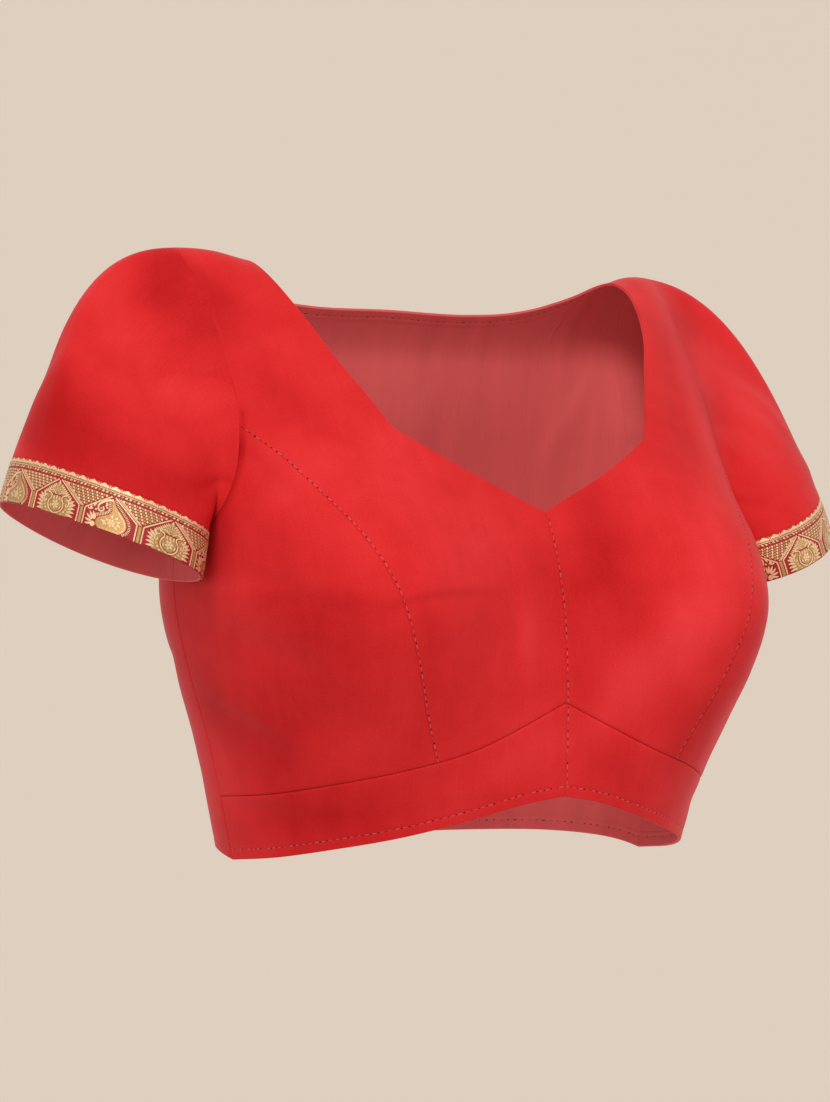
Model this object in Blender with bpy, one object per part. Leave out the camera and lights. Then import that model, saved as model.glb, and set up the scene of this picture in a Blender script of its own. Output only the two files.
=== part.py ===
"""A fitted saree blouse, or choli, filled out as it is when worn, with no wearer in it.

Every piece that a maker would cut is a thin closed wall of cloth of its own: the back, the centre and
side fronts, the two halves of the waistband, the sleeves and the woven border strips at the sleeve ends.
All of them are cut out of two smooth surfaces. The body surface is a stack of level sections that closes
over the shoulders. The sleeve surface runs from the armhole to the sleeve end.

Metres. +X is the wearer's left, -Y is the front, +Z is up. The origin lies in the middle between the
wearer's shoulders, which carry the blouse, at the height of the neck points.
"""
import math
from collections import namedtuple

import bmesh
import bpy
import numpy as np

# Cloth and sewing
CLOTH = 0.0015
SEAM_GAP = 0.0003
BORDER_WIDTH = 0.026

# Shoulders: the radius that the cloth turns over, and the neck point's distance from the middle
SHOULDER_ROUND = 0.045
NECK_HALF_WIDTH = 0.122
SHOULDER_TIP = 0.160
RIDGE_FADE = 0.090

# Level sections of the body, from the hem up. A section's depth is measured at the centre front and
# back. Fullness is how far each bust cup stands out, and squareness pushes the section's corners out.
Level = namedtuple("Level", "height half_breadth front back fullness square_front square_back")
BODY_LEVELS = (
    Level(-0.340, 0.1330, 0.122, 0.094, 0.000, 0.05, 0.10),
    Level(-0.300, 0.1415, 0.129, 0.094, 0.002, 0.15, 0.13),
    Level(-0.265, 0.1500, 0.131, 0.093, 0.013, 0.24, 0.16),
    Level(-0.230, 0.1610, 0.131, 0.093, 0.027, 0.34, 0.20),
    Level(-0.195, 0.1695, 0.128, 0.095, 0.034, 0.42, 0.25),
    Level(-0.160, 0.1710, 0.118, 0.097, 0.029, 0.42, 0.30),
    Level(-0.125, 0.1710, 0.101, 0.095, 0.016, 0.36, 0.32),
    Level(-0.090, 0.1710, 0.081, 0.089, 0.007, 0.30, 0.30),
    Level(-0.060, 0.1720, 0.068, 0.081, 0.002, 0.25, 0.25),
    Level(-0.030, 0.1730, 0.060, 0.072, 0.000, 0.20, 0.20),
    Level(0.000, 0.1740, 0.055, 0.062, 0.000, 0.20, 0.20),
)

# The shoulder line from the middle out: how far it sits back, and how far it rises.
Ridge = namedtuple("Ridge", "out back rise")
SHOULDER_RIDGE = (
    Ridge(0.000, 0.012, 0.000),
    Ridge(0.100, 0.013, 0.000),
    Ridge(0.122, 0.016, 0.001),
    Ridge(0.140, 0.023, 0.006),
    Ridge(0.160, 0.030, 0.007),
    Ridge(0.174, 0.032, 0.005),
)

# Cut lines on the body, as distance out from the middle and height. Each is read as one smooth curve,
# except that the neckline turns sharply at its corner and at its point.
Mark = namedtuple("Mark", "out height")
NECK_POINT_HEIGHT = -0.142
NECK_CORNER = Mark(0.081, -0.098)
NECK_LOWER = (Mark(0.000, NECK_POINT_HEIGHT), Mark(0.042, -0.121), NECK_CORNER)
NECK_UPPER = (NECK_CORNER, Mark(0.091, -0.078), Mark(0.102, -0.056), Mark(0.113, -0.031),
              Mark(0.120, -0.010), Mark(NECK_HALF_WIDTH, 0.000))
NECK_BACK = (Mark(0.000, -0.0165), Mark(0.055, -0.0165), Mark(0.080, -0.0145), Mark(0.102, -0.0095),
             Mark(0.115, -0.0040), Mark(NECK_HALF_WIDTH, 0.0000))
ARMHOLE_FRONT = (Mark(0.1710, -0.160), Mark(0.1690, -0.154), Mark(0.1630, -0.134), Mark(0.1560, -0.097),
                 Mark(0.1550, -0.055), Mark(SHOULDER_TIP, 0.000))
ARMHOLE_BACK = (Mark(0.1710, -0.160), Mark(0.1680, -0.153), Mark(0.1620, -0.130), Mark(0.1560, -0.090),
                Mark(0.1550, -0.050), Mark(SHOULDER_TIP, 0.000))
PRINCESS_FOOT = 0.077
PRINCESS_MARKS = (Mark(0.089, -0.2510), Mark(0.104, -0.2130), Mark(0.1135, -0.1850), Mark(0.1225, -0.1600),
                  Mark(0.1325, -0.1370), Mark(0.1440, -0.1140))

# Heights of the waistband's seam and of the hems, by the angle round from the centre front in degrees
Rise = namedtuple("Rise", "degrees height")
BAND_SEAM = (Rise(0, -0.2460), Rise(8, -0.2560), Rise(22, -0.2710), Rise(38, -0.2815), Rise(55, -0.2895),
             Rise(72, -0.2955), Rise(90, -0.2980))
HEM_FRONT = (Rise(0, -0.2965), Rise(9, -0.3000), Rise(24, -0.3095), Rise(38, -0.3175), Rise(55, -0.3245),
             Rise(72, -0.3300), Rise(90, -0.3330))
HEM_BACK = (Rise(90, -0.3330), Rise(102, -0.3290), Rise(125, -0.3250), Rise(150, -0.3245),
            Rise(180, -0.3260))

# The sleeve's end is an oval loop: its centre, and half its size across the arm and forward
SLEEVE_CENTRE = (0.2190, -0.0070, -0.1565)
SLEEVE_ACROSS = (0.0430, 0.0040, 0.0235)
SLEEVE_AHEAD = (-0.0120, -0.0610, -0.0050)
SLEEVE_DIP = 0.010
SLEEVE_DIP_TURN = 0.755
SLEEVE_FALL = (0.26, -0.02, -0.965)

# How full the sleeve runs round the armhole, from the underarm forward, over the shoulder and back:
# the pull of the cloth where it leaves the armhole, and where it reaches the sleeve end.
Puff = namedtuple("Puff", "turn leave arrive")
SLEEVE_PUFF = (
    Puff(0.00, 0.035, 0.02),
    Puff(0.12, 0.050, 0.06),
    Puff(0.25, 0.100, 0.12),
    Puff(0.38, 0.145, 0.19),
    Puff(0.50, 0.180, 0.22),
    Puff(0.62, 0.150, 0.20),
    Puff(0.75, 0.095, 0.12),
    Puff(0.88, 0.045, 0.06),
    Puff(1.00, 0.035, 0.02),
)

# Facets along each cut line
SIDE_COLUMNS = 7
CENTRE_COLUMNS = 6
NECK_COLUMNS = 12
BAND_ROWS = 3
PRINCESS_ROWS = 10
FRONT_OPENING_ROWS = 6
UPPER_ROWS = 9
ARMHOLE_STEPS = SIDE_COLUMNS + UPPER_ROWS
SLEEVE_ROWS = 12
BORDER_ROWS = 2
SHARP_FOLD = math.radians(50)

# How the surfaces are read: the small steps for directions, the steps for lengths along a thread, the
# tries at a seam's foot, and the body's mean radius, which weighs an angle against a height
SMALL_STEP = 1e-4
STRAND_STEP = 2e-3
ARC_STEPS = 120
FOOT_TRIES = 8
MEAN_RADIUS = 0.15
TOP_LEVEL = SHOULDER_ROUND * (math.pi / 2 - 1)
RIGHT_ANGLE = math.pi / 2
MIRROR = np.array((-1.0, 1.0, 1.0))

RED_SILK = (0.62, 0.022, 0.026, 1.0)
GOLD_ZARI = (0.58, 0.36, 0.13, 1.0)


# Curves

def smooth(knots, values, at):
    """Read a smooth curve through the values; its slope at each knot is set by the two neighbours."""
    knots = np.asarray(knots, float)
    values = np.asarray(values, float)
    at = np.clip(np.asarray(at, float), knots[0], knots[-1])
    steps = np.diff(knots)[:, None]
    chords = np.diff(values, axis=0) / steps
    inner = (chords[:-1] * steps[1:] + chords[1:] * steps[:-1]) / (steps[:-1] + steps[1:])
    slopes = np.vstack([chords[:1], inner, chords[-1:]])
    i = np.clip(np.searchsorted(knots, at, side="right") - 1, 0, len(knots) - 2)
    step = (knots[i + 1] - knots[i])[..., None]
    t = (at - knots[i])[..., None] / step
    start = (2 * t**3 - 3 * t**2 + 1) * values[i] + (t**3 - 2 * t**2 + t) * step * slopes[i]
    end = (3 * t**2 - 2 * t**3) * values[i + 1] + (t**3 - t**2) * step * slopes[i + 1]
    return start + end


def read_table(rows, at):
    """Read all the columns of a table at some values of its first column."""
    table = np.array(rows)
    return np.moveaxis(smooth(table[:, 0], table[:, 1:], at), -1, 0)


def follow(points, share):
    """Points at some shares of the length of the smooth curve through a line's addresses."""
    stride = np.linalg.norm(np.diff(points * (MEAN_RADIUS, 1.0), axis=0), axis=1)
    knots = np.concatenate([[0.0], np.cumsum(stride)])
    return smooth(knots / knots[-1], points, share)


def along(points, count):
    """Spread points evenly along the smooth curve through a line's addresses."""
    return follow(points, np.linspace(0, 1, count + 1))


# The body surface, addressed by an angle round from the centre front and by a level, which is the
# height up to the shoulders' turn and the distance over the turn from there on

def height_of(level):
    turn = np.clip((level + SHOULDER_ROUND) / SHOULDER_ROUND, 0, RIGHT_ANGLE)
    return np.where(level < -SHOULDER_ROUND, level, SHOULDER_ROUND * (np.sin(turn) - 1))


def level_of(height):
    share = np.clip((height + SHOULDER_ROUND) / SHOULDER_ROUND, 0, 1)
    return np.where(height < -SHOULDER_ROUND, height, SHOULDER_ROUND * (np.arcsin(share) - 1))


def body_point(angle, level):
    """Points of the body's outer face."""
    angle, level = np.broadcast_arrays(np.asarray(angle, float), np.asarray(level, float))
    height = height_of(level)
    breadth, front, back, fullness, square_front, square_back = read_table(BODY_LEVELS, height)
    side = np.sin(angle)
    ahead = np.cos(angle)
    share = np.clip((height + SHOULDER_ROUND) / SHOULDER_ROUND, 0, 1)
    turn_in = np.sqrt(1 - share**2)
    front_depth = front * ahead * (1 + square_front * side**2) + fullness * np.sin(2 * angle)**2
    back_depth = back * ahead * (1 + square_back * side**2)
    depth = np.where(ahead > 0, front_depth, back_depth) * turn_in
    x = breadth * side
    sit_back, rise = read_table(SHOULDER_RIDGE, np.abs(x))
    near_top = np.clip((height + RIDGE_FADE) / RIDGE_FADE, 0, 1)
    near_top = near_top**2 * (3 - 2 * near_top)
    return np.stack([x, sit_back * near_top - depth, height + rise * near_top], axis=-1)


def body_normal(angle, level):
    upper = np.minimum(level + SMALL_STEP, TOP_LEVEL)
    round_step = body_point(angle + SMALL_STEP, level) - body_point(angle - SMALL_STEP, level)
    up_step = body_point(angle, upper) - body_point(angle, upper - 2 * SMALL_STEP)
    normal = np.cross(round_step, up_step)
    return normal / np.linalg.norm(normal, axis=-1, keepdims=True)


def address(marks):
    """The body surface's angles and levels of some marks."""
    out, height = np.array(marks).T
    breadth = read_table(BODY_LEVELS, height)[0]
    angle = np.arcsin(np.clip(out / breadth, 0, 1))
    return np.stack([angle, level_of(height)], axis=-1)


def to_back(points):
    """The same addresses on the back half of the body."""
    return np.stack([math.pi - points[:, 0], points[:, 1]], axis=-1)


# Cut lines

def armhole_marks(marks):
    """An armhole edge's addresses. Its underarm point lies on the side seam."""
    points = address(marks)
    points[0, 0] = RIGHT_ANGLE
    return points


def armhole(marks):
    """An armhole edge from the underarm up to the shoulder tip."""
    return along(armhole_marks(marks), ARMHOLE_STEPS)


def level_line(rises, angles):
    """A seam or hem that runs round the body."""
    return np.stack([angles, read_table(rises, np.degrees(angles))[0]], axis=-1)


def centre_line(low, high, count):
    return np.stack([np.zeros(count + 1), np.linspace(low, high, count + 1)], axis=-1)


def side_seam(low, high, count):
    return np.stack([np.full(count + 1, RIGHT_ANGLE), np.linspace(low, high, count + 1)], axis=-1)


def shoulder_seam(count):
    """From the neck point to the shoulder tip."""
    ends = address((Mark(NECK_HALF_WIDTH, 0.0), Mark(SHOULDER_TIP, 0.0)))
    return np.linspace(ends[0], ends[1], count + 1)


def princess_seam(count):
    """From the waistband up to the armhole. Its foot is found by trying the band seam's height again."""
    foot_height = BAND_SEAM[0].height
    for _ in range(FOOT_TRIES):
        breadth = float(read_table(BODY_LEVELS, foot_height)[0])
        foot_angle = math.asin(PRINCESS_FOOT / breadth)
        foot_height = float(read_table(BAND_SEAM, math.degrees(foot_angle))[0])
    head = armhole(ARMHOLE_FRONT)[SIDE_COLUMNS]
    points = np.vstack([[(foot_angle, foot_height)], address(PRINCESS_MARKS), [head]])
    return along(points, count)


def join(*lines):
    """Run lines on from each other, without doubling the points where they meet."""
    return np.vstack([lines[0]] + [line[1:] for line in lines[1:]])


# Panels as grids of addresses, a row for each step up and a column for each step out

def fill(bottom, top, inner, outer):
    """Fill a four sided panel between its edges."""
    up = np.linspace(0, 1, len(inner))[:, None, None]
    across = np.linspace(0, 1, len(bottom))[None, :, None]
    level_blend = (1 - up) * bottom[None] + up * top[None]
    out_blend = (1 - across) * inner[:, None] + across * outer[:, None]
    corners = ((1 - up) * (1 - across) * bottom[0] + (1 - up) * across * bottom[-1]
               + up * (1 - across) * top[0] + up * across * top[-1])
    return level_blend + out_blend - corners


def front_centre_grid():
    princess = princess_seam(PRINCESS_ROWS)
    bottom = level_line(BAND_SEAM, np.linspace(0, princess[0, 0], CENTRE_COLUMNS + 1))
    neck_rows = PRINCESS_ROWS - FRONT_OPENING_ROWS
    inner = join(centre_line(bottom[0, 1], NECK_POINT_HEIGHT, FRONT_OPENING_ROWS),
                 along(address(NECK_LOWER), neck_rows), along(address(NECK_UPPER), UPPER_ROWS))
    arm = armhole(ARMHOLE_FRONT)[SIDE_COLUMNS:]
    return fill(bottom, shoulder_seam(CENTRE_COLUMNS), inner, join(princess, arm))


def front_side_grid():
    princess = princess_seam(PRINCESS_ROWS)
    bottom = level_line(BAND_SEAM, np.linspace(princess[0, 0], RIGHT_ANGLE, SIDE_COLUMNS + 1))
    arm = armhole(ARMHOLE_FRONT)[:SIDE_COLUMNS + 1]
    side = side_seam(bottom[-1, 1], arm[0, 1], PRINCESS_ROWS)
    return fill(bottom, arm[::-1], princess, side)


def waistband_grid():
    split = princess_seam(PRINCESS_ROWS)[0, 0]
    angles = np.concatenate([np.linspace(0, split, CENTRE_COLUMNS + 1),
                             np.linspace(split, RIGHT_ANGLE, SIDE_COLUMNS + 1)[1:]])
    bottom = level_line(HEM_FRONT, angles)
    top = level_line(BAND_SEAM, angles)
    return fill(bottom, top, np.linspace(bottom[0], top[0], BAND_ROWS + 1),
                np.linspace(bottom[-1], top[-1], BAND_ROWS + 1))


def back_grid():
    """The whole back, from the wearer's left side seam round to the right one."""
    low = HEM_BACK[0].height
    seam = BAND_SEAM[-1].height
    arm = armhole(ARMHOLE_BACK)
    edge = join(side_seam(low, seam, BAND_ROWS), side_seam(seam, arm[0, 1], PRINCESS_ROWS), arm)
    half_neck = along(address(NECK_BACK), NECK_COLUMNS // 2)
    half_top = to_back(join(half_neck, shoulder_seam(CENTRE_COLUMNS)))[::-1]
    left = to_back(edge)
    right = np.stack([2 * math.pi - left[:, 0], left[:, 1]], axis=-1)
    other_top = np.stack([2 * math.pi - half_top[::-1, 0], half_top[::-1, 1]], axis=-1)
    top = join(half_top, other_top)
    angles = np.linspace(RIGHT_ANGLE, 3 * RIGHT_ANGLE, len(top))
    from_side = np.where(angles > math.pi, 2 * math.pi - angles, angles)
    bottom = np.stack([angles, level_line(HEM_BACK, from_side)[:, 1]], axis=-1)
    return fill(bottom, top, left, right)


def body_walls(grid):
    """The outer and inner faces of a body panel, drawn in from its seams by half a gap."""
    grid = grid.copy()
    for edge, beside in ((0, 1), (-1, -2)):
        for view in (grid, grid.swapaxes(0, 1)):
            reach = body_point(view[beside, :, 0], view[beside, :, 1])
            reach = reach - body_point(view[edge, :, 0], view[edge, :, 1])
            share = SEAM_GAP / 2 / np.linalg.norm(reach, axis=-1)
            view[edge] += (view[beside] - view[edge]) * share[:, None]
    outer = body_point(grid[..., 0], grid[..., 1])
    return outer, outer - CLOTH * body_normal(grid[..., 0], grid[..., 1])


# The sleeve surface, addressed by a turn round the armhole and a share of the way to the sleeve end

def armhole_address(turn):
    """Round the armhole: 0 at the underarm, a quarter in front, a half on the shoulder."""
    turn = np.mod(turn, 1.0)
    front = follow(armhole_marks(ARMHOLE_FRONT), 2 * turn)
    back = follow(armhole_marks(ARMHOLE_BACK), 2 - 2 * turn)
    ahead = turn <= 0.5
    angle = np.where(ahead, front[..., 0], math.pi - back[..., 0])
    return angle, np.where(ahead, front[..., 1], back[..., 1])


def sleeve_end(turn):
    """The loop at the sleeve end."""
    across = -np.cos(2 * math.pi * turn)[..., None]
    ahead = np.sin(2 * math.pi * turn)[..., None]
    loop = np.array(SLEEVE_CENTRE) + across * SLEEVE_ACROSS + ahead * SLEEVE_AHEAD
    lean = across * math.cos(SLEEVE_DIP_TURN) + ahead * math.sin(SLEEVE_DIP_TURN)
    return loop - SLEEVE_DIP * ((1 + lean) / 2)**2 * np.array((0.0, 0.0, 1.0))


def sleeve_strand(turn, share):
    """Points of the sleeve's outer face, along threads that leave the armhole in line with the body."""
    turn, share = np.broadcast_arrays(np.asarray(turn, float), np.asarray(share, float))
    angle, level = armhole_address(turn)
    ahead = body_point(*armhole_address(turn + STRAND_STEP))
    behind = body_point(*armhole_address(turn - STRAND_STEP))
    leave = np.cross(ahead - behind, body_normal(angle, np.minimum(level, TOP_LEVEL - 2 * SMALL_STEP)))
    leave /= np.linalg.norm(leave, axis=-1, keepdims=True)
    pull, arrive = read_table(SLEEVE_PUFF, np.mod(turn, 1.0))
    t = share[..., None]
    return ((2 * t**3 - 3 * t**2 + 1) * body_point(angle, level)
            + (t**3 - 2 * t**2 + t) * pull[..., None] * leave
            + (3 * t**2 - 2 * t**3) * sleeve_end(turn)
            + (t**3 - t**2) * arrive[..., None] * np.array(SLEEVE_FALL))


def sleeve_walls(first, last, rows):
    """The outer and inner faces of a ring of the left sleeve. First and last give the ring's two edges
    as distances along a thread from the armhole, from the thread's whole length."""
    turns = np.arange(2 * ARMHOLE_STEPS) / (2 * ARMHOLE_STEPS)
    steps = np.linspace(0, 1, ARC_STEPS + 1)
    strides = np.diff(sleeve_strand(turns[:, None], steps[None, :]), axis=1)
    run = np.cumsum(np.linalg.norm(strides, axis=-1), axis=1)
    run = np.hstack([np.zeros((len(turns), 1)), run])
    shares = [np.interp(np.linspace(first(line[-1]), last(line[-1]), rows + 1), line, steps) for line in run]
    shares = np.array(shares)
    turns = np.repeat(turns[:, None], rows + 1, axis=1)
    outer = sleeve_strand(turns, shares)
    later = np.clip(shares + STRAND_STEP, 2 * STRAND_STEP, 1)
    down = sleeve_strand(turns, later) - sleeve_strand(turns, later - 2 * STRAND_STEP)
    onward = sleeve_strand(turns + STRAND_STEP, shares) - sleeve_strand(turns - STRAND_STEP, shares)
    normal = np.cross(down, onward)
    normal /= np.linalg.norm(normal, axis=-1, keepdims=True)
    return outer.swapaxes(0, 1), (outer - CLOTH * normal).swapaxes(0, 1)


# Solids

def cloth_solid(name, outer, inner, material, ring=False):
    """Close two faces of a panel into one wall. A ring's last column meets its first."""
    rows, columns = outer.shape[:2]
    mesh = bmesh.new()
    sheets = [[[mesh.verts.new(point) for point in row] for row in face] for face in (outer, inner)]
    reach = columns if ring else columns - 1
    for face in sheets:
        for i in range(rows - 1):
            for j in range(reach):
                k = (j + 1) % columns
                mesh.faces.new((face[i][j], face[i][k], face[i + 1][k], face[i + 1][j]))
    edges = [[(i, j) for j in range(columns)] + ([(i, 0)] if ring else []) for i in (0, rows - 1)]
    if not ring:
        edges += [[(i, j) for i in range(rows)] for j in (0, columns - 1)]
    for edge in edges:
        for (i, j), (m, n) in zip(edge, edge[1:]):
            mesh.faces.new((sheets[0][i][j], sheets[0][m][n], sheets[1][m][n], sheets[1][i][j]))
    bmesh.ops.recalc_face_normals(mesh, faces=mesh.faces)
    data = bpy.data.meshes.new(name)
    mesh.to_mesh(data)
    mesh.free()
    data.materials.append(material)
    data.shade_smooth()
    data.set_sharp_from_angle(angle=SHARP_FOLD)
    solid = bpy.data.objects.new(name, data)
    bpy.context.collection.objects.link(solid)
    return solid


def pair_of_solids(name, outer, inner, material, ring=False):
    """The wearer's left piece, and the right one mirrored from it."""
    cloth_solid(name + "_left", outer, inner, material, ring)
    cloth_solid(name + "_right", outer * MIRROR, inner * MIRROR, material, ring)


def cloth_material(name, colour, roughness, metallic):
    material = bpy.data.materials.new(name)
    material.use_nodes = True
    shader = material.node_tree.nodes["Principled BSDF"]
    shader.inputs["Base Color"].default_value = colour
    shader.inputs["Roughness"].default_value = roughness
    shader.inputs["Metallic"].default_value = metallic
    return material


def main():
    for old in list(bpy.data.objects):
        bpy.data.objects.remove(old, do_unlink=True)
    silk = cloth_material("red_satin_silk", RED_SILK, 0.45, 0.0)
    zari = cloth_material("gold_zari_border", GOLD_ZARI, 0.35, 0.7)
    cloth_solid("back", *body_walls(back_grid()), silk)
    pair_of_solids("front_centre", *body_walls(front_centre_grid()), silk)
    pair_of_solids("front_side", *body_walls(front_side_grid()), silk)
    pair_of_solids("waistband", *body_walls(waistband_grid()), silk)
    half_gap = SEAM_GAP / 2
    upper = sleeve_walls(lambda whole: half_gap, lambda whole: whole - BORDER_WIDTH - half_gap, SLEEVE_ROWS)
    pair_of_solids("sleeve", *upper, silk, ring=True)
    strip = sleeve_walls(lambda whole: whole - BORDER_WIDTH + half_gap, lambda whole: whole, BORDER_ROWS)
    pair_of_solids("sleeve_border", *strip, zari, ring=True)


main()
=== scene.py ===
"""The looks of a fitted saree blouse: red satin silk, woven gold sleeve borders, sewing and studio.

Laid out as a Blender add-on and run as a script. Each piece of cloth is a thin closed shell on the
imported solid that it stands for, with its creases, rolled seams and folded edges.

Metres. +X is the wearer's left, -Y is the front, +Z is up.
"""
import math
from collections import namedtuple

import bpy
import numpy as np
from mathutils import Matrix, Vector


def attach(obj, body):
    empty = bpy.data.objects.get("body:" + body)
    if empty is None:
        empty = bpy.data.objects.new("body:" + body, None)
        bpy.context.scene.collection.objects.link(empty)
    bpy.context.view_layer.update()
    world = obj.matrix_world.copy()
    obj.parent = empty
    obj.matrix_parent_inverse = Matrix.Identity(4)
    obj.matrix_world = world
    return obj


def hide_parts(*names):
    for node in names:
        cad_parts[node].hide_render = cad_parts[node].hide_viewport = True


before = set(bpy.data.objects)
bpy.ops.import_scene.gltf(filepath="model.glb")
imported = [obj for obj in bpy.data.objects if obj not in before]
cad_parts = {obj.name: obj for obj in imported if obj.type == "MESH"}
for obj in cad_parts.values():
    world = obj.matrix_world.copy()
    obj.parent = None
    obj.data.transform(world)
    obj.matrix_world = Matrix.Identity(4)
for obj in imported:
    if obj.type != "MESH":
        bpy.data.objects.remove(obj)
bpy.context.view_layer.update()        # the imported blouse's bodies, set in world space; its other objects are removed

bl_info = {
    "name": "Saree Blouse",
    "version": (1, 0, 0),
    "blender": (4, 5, 0),
    "location": "View3D > Sidebar > Blouse",
    "description": "Sews a saree blouse of satin silk with woven gold sleeve borders",
    "category": "Object",
}

BODY = "root"
MM = 0.001


# Sizes and colours that a user would change

def linear(code):
    """A hex sRGB colour as linear red, green, blue and alpha."""
    channels = [int(code[i:i + 2], 16) / 255 for i in (1, 3, 5)]
    return (*[c / 12.92 if c <= 0.04045 else ((c + 0.055) / 1.055) ** 2.4 for c in channels], 1.0)


def length_property(name, description, default):
    return bpy.props.FloatProperty(name=name, description=description, default=default, min=0.0,
                                   precision=5, unit="LENGTH", subtype="DISTANCE")


def colour_property(name, description, code):
    return bpy.props.FloatVectorProperty(name=name, description=description, default=linear(code),
                                         size=4, min=0.0, max=1.0, subtype="COLOR")


class BlouseSizes(bpy.types.PropertyGroup):
    """Sizes of the cloth, its sewing and its woven border"""
    cloth: length_property("Cloth", "Thickness of the silk wall", 1.4 * MM)
    crease: bpy.props.FloatProperty(name="Creases", description="Depth of the creases, 1 as worn",
                                    default=1.0, min=0.0, max=2.0, subtype="FACTOR")
    stitch_pitch: length_property("Stitch pitch", "From one stitch to the next", 4.3 * MM)
    stitch_length: length_property("Stitch length", "Thread that shows in each stitch", 2.9 * MM)
    thread: length_property("Thread", "Width of a laid stitch", 0.50 * MM)
    relief: length_property("Zari relief", "How far the gold weft stands off its ground", 0.22 * MM)
    border_repeats: bpy.props.IntProperty(name="Border repeats", default=5, min=1, max=12,
                                          description="Pairs of bush and mango round each sleeve")


class BlouseColours(bpy.types.PropertyGroup):
    """Colours of the cloth, thread and backdrop"""
    # Silk, light and Silk, deep are the lightest and darkest satin: its painted highlight and painted shade,
    # and its random tone
    silk_light: colour_property("Silk, light", "Satin side where it faces the light", "#E73A3C")
    silk: colour_property("Silk", "Satin side", "#D12829")
    silk_deep: colour_property("Silk, deep", "Satin side in its darker patches", "#B01719")
    wrong_side: colour_property("Wrong side", "Dull side of the silk", "#DB5E5C")
    zari_light: colour_property("Zari, light", "Gold thread on top of the weave", "#F2CFA3")
    zari: colour_property("Zari", "Gold thread in the filled parts", "#CB985B")
    zari_ground: colour_property("Zari ground", "Silk ground of the woven border", "#B01A1D")
    thread: colour_property("Thread", "Sewing thread on the right side", "#A56863")
    needle_hole: colour_property("Needle hole", "Shadowed thread where the needle went in", "#2C0C0E")
    bobbin: colour_property("Bobbin thread", "Sewing thread on the wrong side", "#4A0C10")
    backdrop: colour_property("Backdrop", "Floor and backdrop paper", "#F6E5D3")


# The cut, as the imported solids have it: level sections of the body, the shoulder line and the cut lines

def table(columns, *rows):
    """Rows with named columns. A column named in mm is kept in metres, and without the mm in its name."""
    names = columns.split()
    row_kind = namedtuple("Row", [name.removesuffix("_mm") for name in names])
    return tuple(row_kind(*[value / 1000 if name.endswith("_mm") else value
                            for name, value in zip(names, row)]) for row in rows)


BORDER_WIDTH = 0.026
SHOULDER_ROUND = 0.045
RIDGE_FADE = 0.090
PRINCESS_FOOT = 0.077
LEVEL = "height_mm half_breadth_mm front_mm back_mm fullness_mm square_front square_back"
BODY_LEVELS = table(LEVEL,
    (-340, 133, 122, 94, 0, 0.05, 0.1), (-300, 141.5, 129, 94, 2, 0.15, 0.13),
    (-265, 150, 131, 93, 13, 0.24, 0.16), (-230, 161, 131, 93, 27, 0.34, 0.2),
    (-195, 169.5, 128, 95, 34, 0.42, 0.25), (-160, 171, 118, 97, 29, 0.42, 0.3),
    (-125, 171, 101, 95, 16, 0.36, 0.32), (-90, 171, 81, 89, 7, 0.3, 0.3),
    (-60, 172, 68, 81, 2, 0.25, 0.25), (-30, 173, 60, 72, 0, 0.2, 0.2), (0, 174, 55, 62, 0, 0.2, 0.2))

RIDGE = "out_mm back_mm rise_mm"
SHOULDER_RIDGE = table(RIDGE,
    (0, 12, 0), (100, 13, 0), (122, 16, 1), (140, 23, 6), (160, 30, 7), (174, 32, 5))

MARK = "out_mm height_mm"
NECK_LOWER = table(MARK,
    (0, -142), (42, -121), (81, -98))
NECK_UPPER = table(MARK,
    (81, -98), (91, -78), (102, -56), (113, -31), (120, -10), (122, 0))
NECK_BACK = table(MARK,
    (0, -16.5), (55, -16.5), (80, -14.5), (102, -9.5), (115, -4), (122, 0))
ARMHOLE_FRONT = table(MARK,
    (171, -160), (169, -154), (163, -134), (156, -97), (155, -55), (160, 0))
ARMHOLE_BACK = table(MARK,
    (171, -160), (168, -153), (162, -130), (156, -90), (155, -50), (160, 0))
PRINCESS_MARKS = table(MARK,
    (89, -251), (104, -213), (113.5, -185), (122.5, -160), (132.5, -137), (144, -114))

NECK_HALF_WIDTH = NECK_UPPER[-1].out
NECK_POINT_HEIGHT = NECK_LOWER[0].height

RISE = "degrees height_mm"
BAND_SEAM = table(RISE,
    (0, -246), (8, -256), (22, -271), (38, -281.5), (55, -289.5), (72, -295.5), (90, -298))
HEM_FRONT = table(RISE,
    (0, -296.5), (9, -300), (24, -309.5), (38, -317.5), (55, -324.5), (72, -330), (90, -333))
HEM_BACK = table(RISE,
    (90, -333), (102, -329), (125, -325), (150, -324.5), (180, -326))

SLEEVE_CENTRE = (0.2190, -0.0070, -0.1565)
SLEEVE_ACROSS = (0.0430, 0.0040, 0.0235)
SLEEVE_AHEAD = (-0.0120, -0.0610, -0.0050)
SLEEVE_DIP = 0.010
SLEEVE_DIP_TURN = 0.755
SLEEVE_FALL = (0.26, -0.02, -0.965)

PUFF = "turn leave_mm arrive_mm"
SLEEVE_PUFF = table(PUFF,
    (0, 35, 20), (0.12, 50, 60), (0.25, 100, 120), (0.38, 145, 190), (0.5, 180, 220), (0.62, 150, 200),
    (0.75, 95, 120), (0.88, 45, 60), (1, 35, 20))

# Cells of the cut's grids, and how many threads of the shell's finer grid go to each
SIDE_COLUMNS = 7
CENTRE_COLUMNS = 6
NECK_COLUMNS = 12
BAND_ROWS = 3
PRINCESS_ROWS = 10
FRONT_OPENING_ROWS = 6
UPPER_ROWS = 9
FINE = 6
FRONT_TIMES = 2
SLEEVE_ROWS = 54
SLEEVE_TURNS = 210
BORDER_ROWS = 14

SMALL_STEP = 1e-4
STRAND_STEP = 2e-3
ARC_STEPS = 120
FOOT_TRIES = 8
MOST_OF_CELLS = 0.9
MEAN_RADIUS = 0.15
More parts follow.
